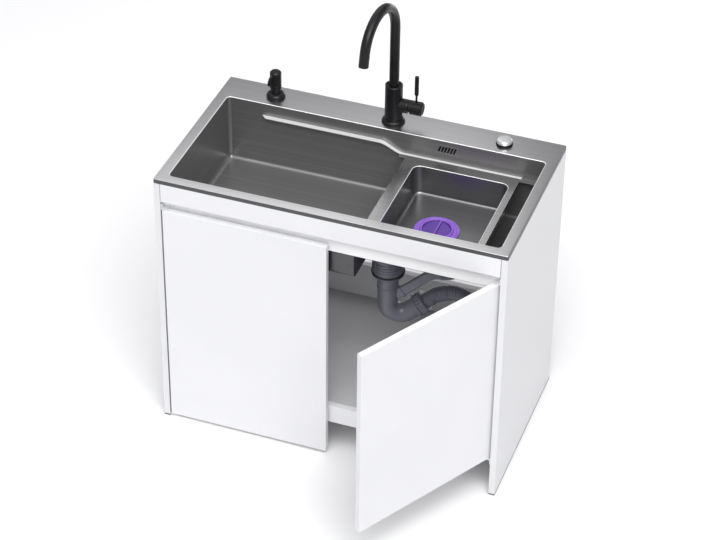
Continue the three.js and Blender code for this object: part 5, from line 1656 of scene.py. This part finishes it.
beak_hole = laid(rod(BEAK_BORE, -8, 2, sides=BEAK_SIDES), beak_line[-1], tip_way)
stem_top = span("pump_stem")[1].z
head_shape = carved(turned(eased(head_outline, 0.8)), [beak], "UNION")
head_shape = carved(head_shape, [
    rod(PUMP_NECK + PUMP_NECK_FIT, head_low - 1, cap_depth),
    rod(PUMP_STEM + FIT, cap_depth - 1, stem_top + FIT), beak_hole,
])
piece(
    "pump_head_moulding", placed(head_shape, pump_foot), "pump_head", black_coat,
    "pump_head",
)
dress(slate, "pump_nut")

milky = grained(
    "milky_plastic", (0.72, 0.73, 0.72), 0.4, grit=(1.4, 40.0),
    tone=((0.68, 0.69, 0.68), (0.76, 0.77, 0.76)), sheen=(0.34, 0.46), press=(0.04, 0.4),
    Subsurface_Weight=0.4, Subsurface_Scale=0.01,
)

low, high = span("soap_bottle")
bottle_radius = (high.x - low.x) / 2
shank_low = span("pump_collar")[0].z
bottle_shoulder = high.z - 18
bottle_outline = [
    (0, low.z + 1.5), (bottle_radius - 9, low.z + 1.2, 2), (bottle_radius - 7, low.z, 1.5),
    (bottle_radius - 3, low.z, 3), (bottle_radius, low.z + 6, 5),
    (bottle_radius, bottle_shoulder - 12, 6), (bottle_radius - 6, bottle_shoulder - 2, 5),
    (PUMP_SHANK + 3, bottle_shoulder, 2), (PUMP_SHANK + 3, high.z, 0.8),
    (PUMP_SHANK + FIT, high.z, 0.4), (PUMP_SHANK + FIT, shank_low - FIT, 0.3),
    (6, shank_low - FIT, 0.3), (6, low.z + 21, 2), (0, low.z + 21),
]
lathed(
    "soap_bottle_blown", bottle_outline, 1, pump_foot, "unit", milky,
    "soap_bottle",
)


# ------------------------------------------------------------------ waste knob
# A chromed button in a black cup. Pressing it lifts or drops the plug through a cable, which
# starts in the housing under the deck.

KNOB = 21.5
KNOB_STEM = 5
CUP_WALL = 23.5
CUP_BORE = 21.9
CUP_SHANK = 12
CUP_RISE = 3.5

knob = middle("knob_base")
knob_foot = (knob.x, knob.y, 0)
low, high = span("knob_base")
cup_outline = [
    (0, low.z), (CUP_SHANK, low.z, 1), (CUP_SHANK, base, 0), (CUP_WALL, base, 0.6),
    (CUP_WALL, base + CUP_RISE, 0.7), (CUP_BORE, base + CUP_RISE, 0.5), (CUP_BORE, base + 1, 0),
    (0, base + 1),
]
lathed(
    "knob_cup", cup_outline, 1, knob_foot, "unit", black_coat, "knob_base",
    bores=[rod(KNOB_STEM + 0.4, low.z - 1, base + 2)],
)

satin_chrome = grained(
    "satin_chrome", (0.76, 0.765, 0.77), 0.34, grit=(0.5, 45.0),
    tone=((0.68, 0.685, 0.69), (0.76, 0.765, 0.77)), sheen=(0.3, 0.38), press=(0.001, 0.1),
    metallic=0.7,
)

low, high = span("waste_knob")
button_low = base + 6.5
button_outline = [
    (0, low.z), (KNOB_STEM, low.z, 0.8), (KNOB_STEM, button_low, 0.3), (KNOB - 0.6, button_low, 0.3),
    (KNOB, button_low + 0.8, 0.4), (KNOB, high.z - 4, 2), (KNOB - 2.6, high.z - 0.6, 2),
    (12, high.z - 0.2, 6), (0, high.z),
]
lathed(
    "knob_button", button_outline, 1, knob_foot, "knob", satin_chrome, "waste_knob", 120
)
dress(zinc, "knob_nut")

low, high = span("knob_housing")
housing_radius = (high.x - low.x) / 2
knob_housing_outline = [
    (0, low.z), (housing_radius - 4, low.z, 1.5), (housing_radius, low.z + 10, 3),
    (housing_radius, high.z - 8, 0.4), (housing_radius - 0.8, high.z - 7.2, 0.3),
    (housing_radius - 0.8, high.z - 5.8, 0.3), (housing_radius, high.z - 5, 0.4),
    (housing_radius, high.z, 0.8), (0, high.z),
]
lathed(
    "knob_cable_housing", knob_housing_outline, 1, knob_foot, "unit", slate,
    "knob_housing", bores=[rod(KNOB_STEM + 0.6, high.z - 20, high.z + 1)],
)
